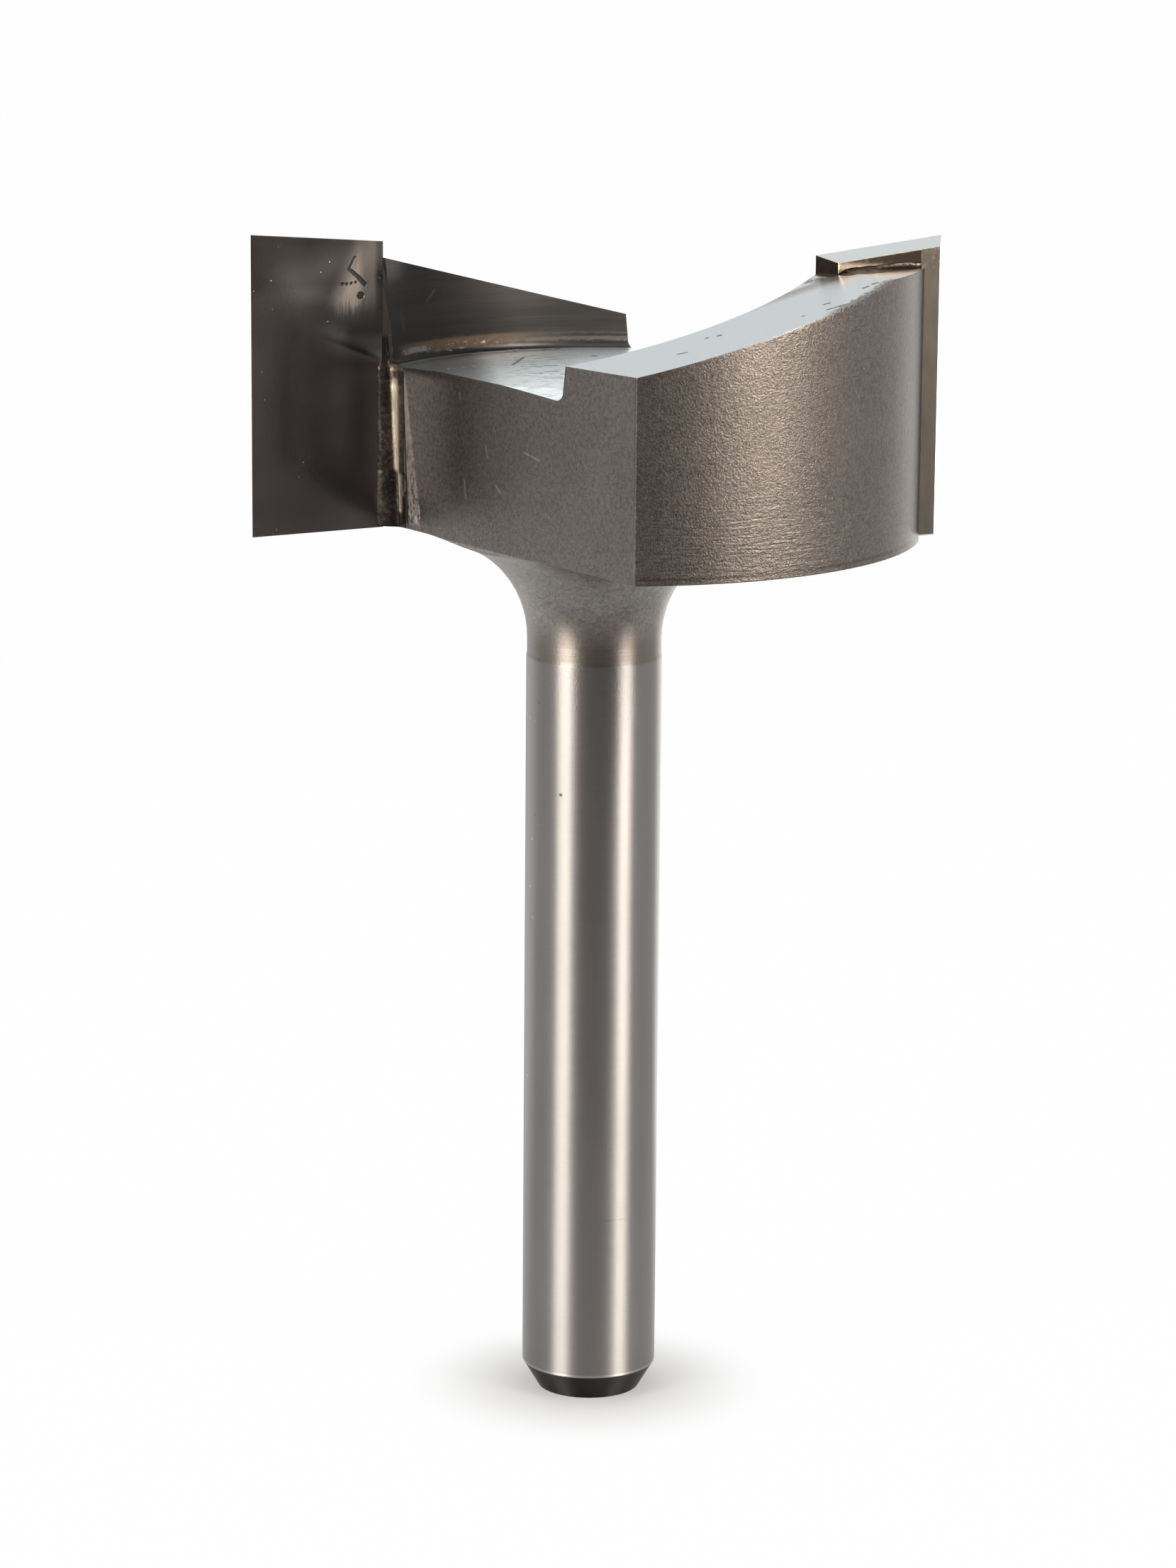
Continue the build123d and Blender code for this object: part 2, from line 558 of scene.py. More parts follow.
@dataclass(frozen=True)
class WallFinish:
    """The pocket's walls: bands left by the cutter; on the far one, painted shade over its left part, lighter
    towards the top of its left end, and a painted gold-brown highlight with glints along its foot.
    """

    body: Colour = (0.062, 0.058, 0.056)
    foot_highlight: Colour = (0.155, 0.137, 0.12)
    gold: Colour = (0.058, 0.042, 0.030)
    spark: Colour = (0.30, 0.225, 0.17)
    blob: Colour = (0.105, 0.105, 0.103)
    scratch: Colour = (0.032, 0.03, 0.029)
    scratches: Marks = (Mark((-7.25, 52.0), (-7.65, 51.5), 0.03), Mark((-8.9, 51.2), (-8.75, 50.4), 0.03))
    far_wall: Step = (0.0, 2.0)
    dark_part: Step = (0.5, -5.0)
    corner_across: Step = (-8.4, -9.4)
    corner_up: Step = (52.4, 53.4)
    thick_highlight: Band = (49.46, 0.14, 0.2)
    thin_highlight: Band = (49.36, 0.05, 0.07)
    upper_line: Band = (49.62, 0.02, 0.05)
    highlight_start: Step = (-9.2, -8.6)
    spark_height: Band = (49.42, 0.04, 0.06)
    spark_start: Step = (-7.2, -6.6)
    spark_end: Step = (-3.4, -4.0)
    spark_share: Step = (0.55, 0.66)
    blob_across: Band = (-8.15, 0.45, 0.2)
    blob_height: Band = (49.38, 0.1, 0.06)

    def colour(self, spot: Spot) -> bpy.types.NodeSocket:
        """Colour the walls.

        Args:
            spot: the point being shaded.

        Returns:
            The colour socket.
        """
        bench, x, z = spot.bench, spot.x, spot.z
        bands = bench.noise(spot.stretched(0.12, 3.4), 1.0, 3.0)
        fine = bench.noise(spot.stretched(0.4, 16.0), 1.0, 2.0)
        uneven = bench.noise(spot.stretched(2.6, 5.0), 1.0, 4.0, 0.7)
        far = spot.y.ramp(*self.far_wall)
        # Painted shade: the far wall's left part is darkened, and its left end is lighter towards the top.
        dark = x.ramp(*self.dark_part) * far
        corner = x.ramp(*self.corner_across) * z.ramp(*self.corner_up) * far
        tone = (0.45 + 0.7 * bands + 0.4 * fine) * (1 - 0.74 * dark + 0.7 * corner)
        colour = bench.scaled(self.body, tone)
        scratch = bench.marks(bench.vector(x, z, 0.0), self.scratches, 0.04) * far
        colour = bench.blend(scratch * 0.7, colour, self.scratch)
        # Painted highlight along the far wall's foot: a gold-brown band, glints and a pale blob.
        height = z + 0.25 * (uneven - 0.5)
        thin = height.near(*self.thin_highlight).most(height.near(*self.upper_line) * 0.5)
        band = (height.near(*self.thick_highlight) * dark).most(thin) * far * x.ramp(*self.highlight_start)
        foot_highlight = bench.scaled(bench.blend(dark, self.foot_highlight, self.gold), 0.4 + 1.2 * uneven)
        colour = bench.blend(band * 0.9, colour, foot_highlight)
        spark = uneven.ramp(*self.spark_share) * height.near(*self.spark_height) * far
        colour = bench.blend(spark * x.ramp(*self.spark_start) * x.ramp(*self.spark_end), colour, self.spark)
        blob = (x + 2.0 * (uneven - 0.5)).near(*self.blob_across) * height.near(*self.blob_height) * far
        return bench.blend(blob * 0.9, colour, self.blob)


@dataclass(frozen=True)
class GulletFinish:
    """What lies on the near gullet face: scratches, specks and the smear of solder beside the fillet."""

    scratch: Colour = (0.3, 0.275, 0.25)
    smear: Colour = (0.85, 0.74, 0.67)
    shadow: Colour = (0.035, 0.028, 0.024)
    scratches: Marks = (
        Mark((-1.87, 48.3), (-1.83, 48.0), 0.03), Mark((3.2, 46.2), (4.4, 46.0), 0.02),
        Mark((-1.5, 44.3), (-1.38, 43.5), 0.045), Mark((0.2, 46.1), (0.35, 45.6), 0.025),
        Mark((-3.6, 48.2), (-3.55, 47.8), 0.03), Mark((1.0, 44.4), (1.35, 44.1), 0.03),
    )
    near_face: Step = (0.0, -1.0)
    speck_size: Step = (0.075, 0.04)
    smear_top: float = 48.2
    smear_inner: float = -6.42
    smear_inner_slant: float = 0.062
    smear_outer: float = -6.17
    smear_outer_slant: float = 0.19
    smear_head: Step = (48.7, 48.2)
    smear_foot: Step = (41.5, 42.1)
    smear_whole: Step = (44.3, 46.3)
    smear_holes: Step = (0.44, 0.52)
    shadow_line: Band = (-0.05, 0.03, 0.04)
    shadow_head: Step = (48.9, 48.5)

    def colour(self, spot: Spot, body: bpy.types.NodeSocket, gullet: Field, normal: Vector,
               lumps: Field) -> bpy.types.NodeSocket:
        """Add what lies on the face to the sides' colour.

        Args:
            spot: the point being shaded.
            body: the sides' colour.
            gullet: mask of the gullet faces.
            normal: the right gullet face's direction.
            lumps: noise that breaks the smear up.

        Returns:
            The colour socket.
        """
        bench, z = spot.bench, spot.z
        run = spot.toward(Vector((normal.y, -normal.x, 0.0)))
        near = spot.toward(normal).ramp(*self.near_face) * gullet
        scratch = bench.marks(bench.vector(run, z, 0.0), self.scratches, 0.05) * near
        speck = bench.cells(spot.whole(), 1.6).ramp(*self.speck_size) * near
        body = bench.blend((scratch * 0.5 + speck * 0.35) * (0.5 + lumps), body, self.scratch)
        holes = bench.noise(bench.vector(run * 2.6, z * 1.1, 0.0), 1.6, 4.0, 0.7)
        down = self.smear_top - z
        inner = run - self.smear_inner - self.smear_inner_slant * down
        outer = self.smear_outer + self.smear_outer_slant * down + 0.35 * (holes - 0.5) - run
        torn = holes.ramp(*self.smear_holes).most(z.ramp(*self.smear_whole)) * near
        skin = inner.ramp(0.0, 0.05) * outer.ramp(0.0, 0.1) * torn
        skin = skin * z.ramp(*self.smear_head) * z.ramp(*self.smear_foot)
        shadow = inner.near(*self.shadow_line) * z.ramp(*self.shadow_head) * near
        body = bench.blend(shadow * 0.8, body, self.shadow)
        return bench.blend((skin * (0.3 + 1.1 * lumps)).least(0.95), body, self.smear)


@dataclass(frozen=True)
class TopFinish:
    """The wings' ground tops, pitted and heat-stained beside the solder, with a painted shadow at the right
    plate's inner end, and the pocket's milled floor.
    """

    ground: Colour = (0.495, 0.54, 0.555)
    milled: Colour = (0.84, 0.93, 0.96)
    pit: Colour = (0.05, 0.046, 0.044)
    stain_and_shadow: Colour = (0.10, 0.085, 0.072)
    scorch: Colour = (0.21, 0.172, 0.14)
    glint: Colour = (0.9, 0.92, 0.92)
    pits: Marks = (
        Mark.pit(4.19, -9.44, 0.06), Mark.pit(4.75, -9.52, 0.09), Mark((2.8, -10.95), (3.15, -11.0), 0.05),
        Mark.pit(8.47, -9.52, 0.05), Mark((9.5, -8.44), (9.72, -8.4), 0.06),
        Mark((9.55, -9.4), (10.3, -9.2), 0.05), Mark((11.4, -7.26), (11.6, -7.16), 0.06),
        Mark((11.86, -6.95), (12.05, -6.9), 0.07), Mark((5.79, -12.7), (6.0, -12.55), 0.06),
        Mark.pit(6.41, -12.3, 0.05),
    )
    cuts: Marks = (
        Mark((-2.3, 1.52), (-1.75, 1.5), 0.06), Mark((-2.35, -0.40), (-1.85, -0.42), 0.08),
        Mark((-2.5, -2.42), (-1.8, -2.46), 0.07), Mark((-2.95, 1.20), (-2.5, 1.18), 0.06),
        Mark((-1.7, -1.3), (-1.2, -1.34), 0.07), Mark((-3.1, -0.9), (-2.6, -0.95), 0.05),
        Mark.pit(0.21, 4.66, 0.12), Mark((-3.79, 1.68), (-3.12, 4.23), 0.045),
    )
    glints: Marks = (Mark.pit(-6.80, 0.57, 0.07), Mark.pit(-6.09, 1.02, 0.05), Mark.pit(-5.61, 1.36, 0.06))
    plate_shadow_line: tuple[Point, Point] = ((10.3, -4.6), (8.6, -3.6))
    plate_shadow_reach: Step = (0.5, 0.15)
    scorch_reach: Step = (3.7, 2.7)
    scorch_start: Step = (1.5, 1.6)
    worn_inset: Step = (0.65, 0.05)
    worn_share: Step = (0.7, 0.8)
    worn_start: Step = (9.0, 10.4)
    worn_end: Step = (13.2, 12.6)
    worn_side: Step = (-5.0, -6.0)
    stroke_start: Step = (-5.0, -3.4)
    stroke_end: Step = (-0.2, -1.6)
    stroke_share: Step = (0.54, 0.62)
    ring_offsets: tuple[float, float] = (-0.06, 0.12)
    ring_side: Step = (0.5, -0.5)
    shade_edge: Step = (-4.2, -5.9)

    def colour(self, spot: Spot, sizes: HeadSizes, floor: Field) -> bpy.types.NodeSocket:
        """Colour the tops and the floor.

        Args:
            spot: the point being shaded.
            sizes: places of the head's faces.
            floor: mask of the pocket's floor.

        Returns:
            The colour socket.
        """
        bench = spot.bench
        plan = bench.vector(spot.x, spot.y, 0.0)
        crumbs = bench.noise(plan, 5.0, 3.0, 0.7)
        ground = self._ground(spot, sizes, plan, crumbs)
        return bench.blend(floor, ground, self._milled(spot, sizes, plan, crumbs))

    def _ground(self, spot: Spot, sizes: HeadSizes, plan: bpy.types.NodeSocket,
                crumbs: Field) -> bpy.types.NodeSocket:
        """Colour the ground tops.

        Args:
            spot: the point being shaded.
            sizes: places of the head's faces.
            plan: its place in plan.
            crumbs: noise that breaks the marks up.

        Returns:
            The colour socket.
        """
        bench, x, y = spot.bench, spot.x, spot.y
        fine = bench.noise(plan, 22.0, 2.0)
        rim = spot.out_from(sizes.back_centre).ramp(*(sizes.back_radius - inset for inset in self.worn_inset))
        worn = (rim + 2.6 * (crumbs - 0.5)).ramp(*self.worn_share)
        worn = worn * x.ramp(*self.worn_start) * x.ramp(*self.worn_end) * y.ramp(*self.worn_side)
        pits = bench.marks(plan, self.pits, 0.06) * crumbs.ramp(0.3, 0.45)
        ground = bench.scaled(self.ground, 0.93 + 0.14 * fine)
        ground = bench.blend(pits.most(worn * 0.8), ground, self.pit)
        # Painted shadow: a dark patch on the top at the foot of the right plate's inner end.
        stain_and_shadow = (bench.from_line(plan, *self.plate_shadow_line) - 0.6 * (crumbs - 0.5)).ramp(*self.plate_shadow_reach)
        ground = bench.blend(stain_and_shadow * crumbs.ramp(0.34, 0.5) * 0.9, ground, self.stain_and_shadow)
        depth = spot.toward(sizes.behind()) - sizes.corner_depth()
        along = sizes.corner_reach() + spot.toward(sizes.inward())
        scorch = (depth + 1.1 * (crumbs - 0.5) + 0.1 * along).ramp(*self.scorch_reach)
        return bench.blend(scorch * depth.ramp(*self.scorch_start) * 0.75, ground, self.scorch)

    def _milled(self, spot: Spot, sizes: HeadSizes, plan: bpy.types.NodeSocket,
                crumbs: Field) -> bpy.types.NodeSocket:
        """Colour the milled floor.

        Args:
            spot: the point being shaded.
            sizes: places of the head's faces.
            plan: its place in plan.
            crumbs: noise that breaks the marks up.

        Returns:
            The colour socket.
        """
        bench, x, y = spot.bench, spot.x, spot.y
        strokes = bench.noise(bench.vector(x * 1.3, y * 7.0, 0.0), 1.0, 3.0, 0.6)
        swirl = bench.noise(bench.vector(x * 0.9 + y * 0.3, y * 2.6, 0.0), 0.9, 4.0, 0.7)
        stroked = strokes.ramp(*self.stroke_share) * x.ramp(*self.stroke_start) * x.ramp(*self.stroke_end)
        cuts = (stroked * 0.9).most(bench.marks(plan, self.cuts, 0.06))
        out = spot.out_from(sizes.wall_centre)
        inner, outer = (out.near(sizes.floor_flat + offset, 0.015, 0.04) for offset in self.ring_offsets)
        rings = inner.most(outer) * y.ramp(*self.ring_side) * 0.6
        shade = (x + 1.4 * (crumbs - 0.5) + 0.4 * (strokes - 0.5)).ramp(*self.shade_edge)
        milled = bench.scaled(self.milled, (0.55 + 0.45 * strokes + 0.5 * swirl) * (1 - 0.66 * shade))
        milled = bench.blend(cuts.most(rings) * 0.85, milled, self.pit)
        return bench.blend(bench.marks(plan, self.glints, 0.04), milled, self.glint)


@dataclass(frozen=True)
class HeadFinish:
    """The winged head: blasted gullets and flare, turned backs, and the finishes of its other faces."""

    back: Colour = (0.120, 0.104, 0.092)
    gullet: Colour = (0.122, 0.109, 0.100)
    flare: Colour = (0.205, 0.192, 0.178)
    chip: Colour = (0.27, 0.25, 0.23)
    walls: WallFinish = field(default_factory=WallFinish)
    gullets: GulletFinish = field(default_factory=GulletFinish)
    tops: TopFinish = field(default_factory=TopFinish)
    top_tilt: Step = (0.86, 0.93)
    top_height: Step = (48.0, 48.2)
    floor_height: Step = (49.5, 49.3)
    gullet_facing: Step = (0.985, 0.995)
    wall_height: Step = (48.3, 48.6)
    hollow_tilt: Step = (0.16, 0.34)
    hollow_height: Step = (50.2, 49.8)
    flare_drop: Step = (0.02, 0.08)
    turned_height: Step = (47.0, 43.0)
    rim_rise: float = 0.28
    lift_run: Step = (-1.5, -5.8)
    lift_head: Step = (48.9, 48.5)
    lift_foot: Step = (42.0, 43.6)
    chip_drop: Step = (-0.17, -0.09)
    chip_start: Step = (6.0, 9.0)
    chip_end: Step = (13.2, 12.6)
    relief: float = 0.012

    def surface(self, spot: Spot, sizes: HeadSizes, edge: bpy.types.NodeSocket) -> bpy.types.NodeSocket:
        """Make the head's shader.

        Args:
            spot: the point being shaded.
            sizes: places of the head's faces.
            edge: normals that round the edges.

        Returns:
            The shader socket.
        """
        bench, z = spot.bench, spot.z
        across, forth, tilt = bench.facing()
        normal = sizes.gullet_normal()
        tops = tilt.ramp(*self.top_tilt) * z.ramp(*self.top_height)
        sides = 1 - tops
        gullet = abs(across * normal.x + forth * normal.y).ramp(*self.gullet_facing) * sides
        back = self._backs(spot, sizes) * sides
        wall = sides * (1 - gullet) * (1 - back) * z.ramp(*self.wall_height)
        hollow = wall * tilt.ramp(*self.hollow_tilt) * z.ramp(*self.hollow_height)
        flare = z.ramp(*(sizes.underside - drop for drop in self.flare_drop))
        grain = bench.noise(spot.whole(), 12.0, 2.0, 0.6)
        lumps = bench.noise(spot.whole(), 5.0, 2.0, 0.5)
        cloud = bench.noise(spot.whole(), 0.35, 2.0)
        turned = bench.noise(spot.stretched(0.9, 8.5), 1.0, 2.0)
        sparkle = bench.cells(spot.whole(), 5.5).ramp(0.17, 0.08) * back
        low = z.ramp(*self.turned_height) * back

        colour = bench.blend(back, bench.scaled(self.gullet, self._painted_lift(spot, normal)), self.back)
        colour = bench.blend(flare, colour, self.flare)
        colour = bench.blend(self._chips(spot, sizes, lumps) * back * 0.5, colour, self.chip)
        tone = 0.35 + 1.3 * grain + 0.9 * (lumps - 0.5) + 0.25 * (cloud - 0.5) + 0.8 * sparkle
        rim = back * z.near(sizes.underside + self.rim_rise, 0.03, 0.07)
        colour = bench.scaled(colour, tone * (1 - 0.3 * rim) * (0.93 + 0.3 * low * (turned - 0.5)))
        colour = bench.blend(wall, colour, self.walls.colour(spot))
        colour = self.gullets.colour(spot, colour, gullet, normal, lumps)
        # Partly painted reflection: the ground tops and the milled floor are far paler than the dark sides,
        # standing for the white studio they mirror while the dark sides stand for the dark front.
        colour = bench.blend(tops, colour, self.tops.colour(spot, sizes, tops * z.ramp(*self.floor_height)))
        rough = 0.34 + 0.12 * (grain - 0.5) + 0.08 * wall - 0.12 * hollow - 0.04 * tops + 0.1 * flare
        relief = grain * (0.4 + 1.0 * back) + 0.45 * lumps * back + 1.1 * turned * low
        relief = relief * (1 - 0.85 * tops) * (1 - 0.8 * wall)
        return bench.metal(colour, rough, bench.bumped(relief, self.relief, edge))

    @staticmethod
    def _backs(spot: Spot, sizes: HeadSizes) -> Field:
        """Find the wings' turned backs.

        Args:
            spot: the point being shaded.
            sizes: places of the head's faces.

        Returns:
            Their mask.
        """
        near, far = (
            spot.out_from((side.value * sizes.back_centre[0], side.value * sizes.back_centre[1]))
            .near(sizes.back_radius, 0.06, 0.03)
            for side in Side
        )
        return near.most(far)

    def _painted_lift(self, spot: Spot, normal: Vector) -> Field:
        """Painted light: brighten the gullet face towards the solder, against the shade that the plate casts
        there.

        Args:
            spot: the point being shaded.
            normal: the right gullet face's direction.

        Returns:
            The factor on the face's colour.
        """
        run = spot.toward(Vector((normal.y, -normal.x, 0.0))).ramp(*self.lift_run)
        return 1 + 2.2 * run * spot.z.ramp(*self.lift_head) * spot.z.ramp(*self.lift_foot)

    def _chips(self, spot: Spot, sizes: HeadSizes, lumps: Field) -> Field:
        """Find the crumbled edge between the right wing's back and its sloping top.

        Args:
            spot: the point being shaded.
            sizes: places of the head's faces.
            lumps: noise that breaks the edge up.

        Returns:
            The edge's mask.
        """
        under = spot.z - (spot.toward(sizes.ramp_rise()) + sizes.ramp_at_axis())
        edge = (under + 0.5 * (lumps - 0.5)).ramp(*self.chip_drop)
        return edge * spot.x.ramp(*self.chip_start) * spot.x.ramp(*self.chip_end)


@dataclass(frozen=True)
class ShaftFinish:
    """The ground shank, its foot darkened with painted shade, and the turned neck."""

    shank: Colour = (0.205, 0.194, 0.187)
    neck: Colour = (0.185, 0.163, 0.145)
    foot: Colour = (0.032, 0.03, 0.029)
    foot_edge: Colour = (0.3, 0.29, 0.28)
    nick: Colour = (0.05, 0.046, 0.044)
    rub: Colour = (0.5, 0.49, 0.47)
    nicks: Marks = (Mark.pit(-6.78, 29.6, 0.05),)
    shank_radius: float = 3.175
    neck_start: Step = (35.66, 35.8)
    foot_top: Step = (1.30, 1.24)
    foot_line: Band = (1.3, 0.03, 0.06)
    oiled: Step = (30.0, 35.6)
    left_front: Step = (-140.0, -165.0)
    left_rear: Step = (120.0, 150.0)
    nick_height: Step = (16.0, 22.0)
    nick_size: Step = (0.11, 0.07)
    rub_share: Step = (0.66, 0.72)
    ring_height: Band = (9.05, 0.02, 0.05)
    ring_start: Step = (-86.0, -78.0)
    ring_end: Step = (-60.0, -66.0)
    relief: float = 0.0022
    streak: float = 0.93
    streak_turn: float = 0.25

    def surface(self, spot: Spot, edge: bpy.types.NodeSocket) -> bpy.types.NodeSocket:
        """Make the shaft's shader.

        Args:
            spot: the point being shaded.
            edge: normals that round the edges.

        Returns:
            The shader socket.
        """
        bench, z = spot.bench, spot.z
        turned = bench.noise(spot.stretched(0.12, 8.0), 1.0, 3.0)
        ground = bench.noise(spot.stretched(1.5, 16.0), 1.0, 2.0)
        grain = bench.noise(spot.whole(), 10.0, 2.0, 0.6)
        cloud = bench.noise(spot.stretched(1.0, 0.25), 0.6, 2.0)
        neck = z.ramp(*self.neck_start)
        high = z.ramp(*self.oiled)
        colour = bench.blend(neck, bench.scaled(self.shank, 0.9 + 0.2 * cloud), self.neck)
        tone = 0.9 + 0.12 * ground + 0.14 * high * (grain - 0.5) + 0.25 * neck * (turned - 0.5)
        colour = self._worn(spot, bench.scaled(colour, tone))
        # Painted shade: the foot chamfer is near black for the shadow under it that it mirrors; a paler line
        # runs along its top edge.
        colour = bench.blend(z.ramp(*self.foot_top), colour, bench.scaled(self.foot, 0.6 + 0.8 * cloud))
        colour = bench.blend(z.near(*self.foot_line), colour, self.foot_edge)
        rough = 0.42 + 0.06 * (ground - 0.5) + 0.04 * neck
        relief = ground * 0.5 + grain * (0.4 + 2.2 * high) + turned * (5.0 * neck)
        normal = bench.bumped(relief, self.relief, edge)
        return bench.metal(colour, rough, normal,
                           Anisotropic=self.streak, Anisotropic_Rotation=self.streak_turn)

    def _worn(self, spot: Spot, colour: bpy.types.NodeSocket) -> bpy.types.NodeSocket:
        """Add nicks, a short dark ring and rubbed spots.

        Args:
            spot: the point being shaded.
            colour: the clean shaft's colour.

        Returns:
            The colour socket.
        """
        bench, z = spot.bench, spot.z
        bearing = spot.y.angle(spot.x) * (180 / math.pi)
        face = bench.vector(bearing * (math.pi / 180 * self.shank_radius), z, 0.0)
        wear = bench.noise(spot.whole(), 2.2, 3.0, 0.65)
        left = bearing.ramp(*self.left_front).most(bearing.ramp(*self.left_rear))
        nicks = bench.cells(spot.whole(), 1.1).ramp(*self.nick_size) * left * z.ramp(*self.nick_height)
        nicks = nicks.most(bench.marks(face, self.nicks, 0.05))
        ring = z.near(*self.ring_height) * bearing.ramp(*self.ring_start) * bearing.ramp(*self.ring_end)
        colour = bench.blend(nicks.most(ring * wear.ramp(0.4, 0.55) * 0.25), colour, self.nick)
        return bench.blend(wear.ramp(*self.rub_share) * left * 0.6, colour, self.rub)


@dataclass(frozen=True)
class SteelFinish:
    """The body's steel, from the polished shank to the winged head."""

    head: HeadFinish = field(default_factory=HeadFinish)
    shaft: ShaftFinish = field(default_factory=ShaftFinish)
    change: Step = (36.2, 38.2)
    edge_radius: float = 0.07

    def build(self, sizes: HeadSizes) -> bpy.types.Material:
        """Make the material.

        Args:
            sizes: places of the head's faces.

        Returns:
            The material.
        """
        material, bench = new_material("body_steel_finish")
        edge = bench.rounded(self.edge_radius)
        spot = bench.spot()
        head = self.head.surface(spot, sizes, edge)
        shaft = self.shaft.surface(spot, edge)
        bench.show(bench.joined(spot.z.ramp(*self.change), shaft, head))
        return material


@dataclass(frozen=True)
class PlateSpot:
    """A point of either plate, measured from its cutting corner, with the masks of its faces."""

    along: Field
    depth: Field
    left_rake: Field
    rake: Field
    rear: Field
    tops: Field

    @staticmethod
    def find(spot: Spot, sizes: HeadSizes, tilt: Field) -> "PlateSpot":
        """Measure the point being shaded.

        Args:
            spot: the point.
            sizes: places of the head's faces.
            tilt: how far the face looks up.

        Returns:
            The point as the plates' finish reads it.
        """
        reach = spot.toward(sizes.inward())
        depth = abs(spot.toward(sizes.behind())) - sizes.corner_depth()
        tops = tilt.ramp(0.86, 0.93)
        rake = depth.near(0.0, 0.03, 0.03) * (1 - tops)
        rear = depth.near(sizes.plate_thickness, 0.03, 0.03) * (1 - tops)
        along = sizes.corner_reach() - abs(reach)
        return PlateSpot(along, depth, reach.ramp(-0.2, 0.2) * rake, rake, rear, tops)


@dataclass(frozen=True)
class CarbideFinish:
    """Tungsten carbide plates: near-black ground faces with a painted warm sheen and painted shade on the
    rake face, and pale ends; the dark faces and pale ends are partly painted reflection, of the dark front
    and of the white studio.
    """

    side: Colour = (0.066, 0.060, 0.058)
    sheen: Colour = (0.148, 0.125, 0.110)
    strip: Colour = (0.046, 0.040, 0.034)
    end: Colour = (0.55, 0.575, 0.58)
    chip: Colour = (0.2, 0.19, 0.185)
    stain_and_shadow: Colour = (0.105, 0.078, 0.05)
    dark: Colour = (0.022, 0.019, 0.018)
    speck: Colour = (0.45, 0.42, 0.38)
    end_face: Colour = (0.26, 0.21, 0.17)
    rear: Colour = (0.055, 0.042, 0.033)
    flank: Colour = (0.40, 0.405, 0.40)
    scars: Marks = (
        Mark((5.25, 54.0), (4.97, 53.48), 0.035), Mark((4.97, 53.48), (5.42, 53.1), 0.055),
        Mark((5.42, 53.1), (5.76, 52.74), 0.075), Mark.pit(5.55, 52.23, 0.15), Mark.pit(4.62, 52.8, 0.05),
        Mark.pit(4.84, 52.8, 0.045), Mark.pit(5.07, 52.82, 0.04), Mark.pit(5.3, 52.86, 0.035),
    )
    patch_rise: float = 52.0
    patch_start: Step = (3.6, 4.9)
    patch_dim: Step = (5.35, 5.8)
    patch_end: Step = (6.5, 6.2)
    patch_foot: Step = (50.9, 52.3)
    patch_head: Step = (54.6, 52.6)
    upper_sheen_across: Step = (6.0, 1.5)
    upper_sheen_up: Step = (49.5, 54.5)
    crown_across: Step = (1.8, 3.0)
    crown_up: Step = (52.2, 53.0)
    veil_across: Step = (2.8, 5.2)
    veil_foot: Step = (-0.22, 0.02)
    veil_head: Step = (52.0, 50.5)
    veil_corner: Point = (6.3, 49.3)
    veil_slope: float = 0.42
    low_across: Band = (3.6, 0.7, 1.4)
    low_foot: Step = (43.2, 45.4)
    low_head: Step = (52.0, 47.0)
    lit_up: Step = (49.5, 53.5)
    lit_foot: Step = (49.2, 48.4)
    lit_across: Step = (3.0, 5.5)
    foot_height: Step = (42.3, 41.4)
    strip_width: Step = (2.1, 2.0)
    end_start: Step = (6.40, 6.44)
    behind_rake: Step = (0.02, 0.06)
    flank_facing: Step = (0.97, 0.985)
    relief: float = 0.0025
    edge_radius: float = 0.03

    def build(self, sizes: HeadSizes) -> bpy.types.Material:
        """Make the material.

        Args:
            sizes: places of the head's faces.

        Returns:
            The material.
        """
        material, bench = new_material("tip_carbide_finish")
        spot = bench.spot()
        across, forth, tilt = bench.facing()
        place = PlateSpot.find(spot, sizes, tilt)
        grain = bench.noise(spot.whole(), 9.0, 3.0, 0.6)
        cloud = bench.noise(spot.whole(), 0.5, 2.0)
        brush = bench.noise(bench.vector(place.along * 14.0, place.depth * 14.0, spot.z * 0.9), 1.0, 3.0)
        scars = bench.marks(bench.vector(place.along, spot.z, 0.0), self.scars, 0.045) * place.left_rake
        specks = bench.cells(spot.whole(), 1.3).ramp(0.06, 0.035) * place.rake
        sheen = self._sheen(spot, place, brush)
        upper_sheen = place.along.ramp(*self.upper_sheen_across) * spot.z.ramp(*self.upper_sheen_up) * place.left_rake

        colour = bench.scaled(self.side, 0.75 + 0.3 * cloud + 0.25 * grain)
        # Painted shade: the left rake face is darkened towards its top.
        crown = (0.38 + 0.2 * place.along.ramp(*self.crown_across)) * spot.z.ramp(*self.crown_up)
        colour = bench.scaled(colour, 1 - crown * place.left_rake)
        # Painted sheen: the warm patch, a faint wash of it towards the top near the cutting corner, and a
        # lighter band along the rake face's foot.
        colour = bench.blend(sheen, colour, self.sheen)
        colour = bench.blend(0.08 * upper_sheen, colour, self.sheen)
        colour = bench.scaled(colour, self._shade(spot, place))
        colour = bench.blend(0.35 * spot.z.ramp(*self.foot_height) * place.rake, colour, self.sheen)
        colour = bench.blend(specks * 0.6 * (0.4 + upper_sheen), colour, self.speck)
        colour = bench.blend(scars, colour, self.dark)

        sides = place.depth.ramp(*self.behind_rake) * (1 - place.tops)
        turn = math.radians(sizes.side_relief)
        flank = abs(across * math.cos(turn) - forth * math.sin(turn)).ramp(*self.flank_facing)
        strip = place.along.ramp(*self.strip_width) * sides
        inner = place.along.ramp(*self.end_start) * sides
        colour = self._sides(spot, place, sizes, colour, (strip, inner, flank), cloud)
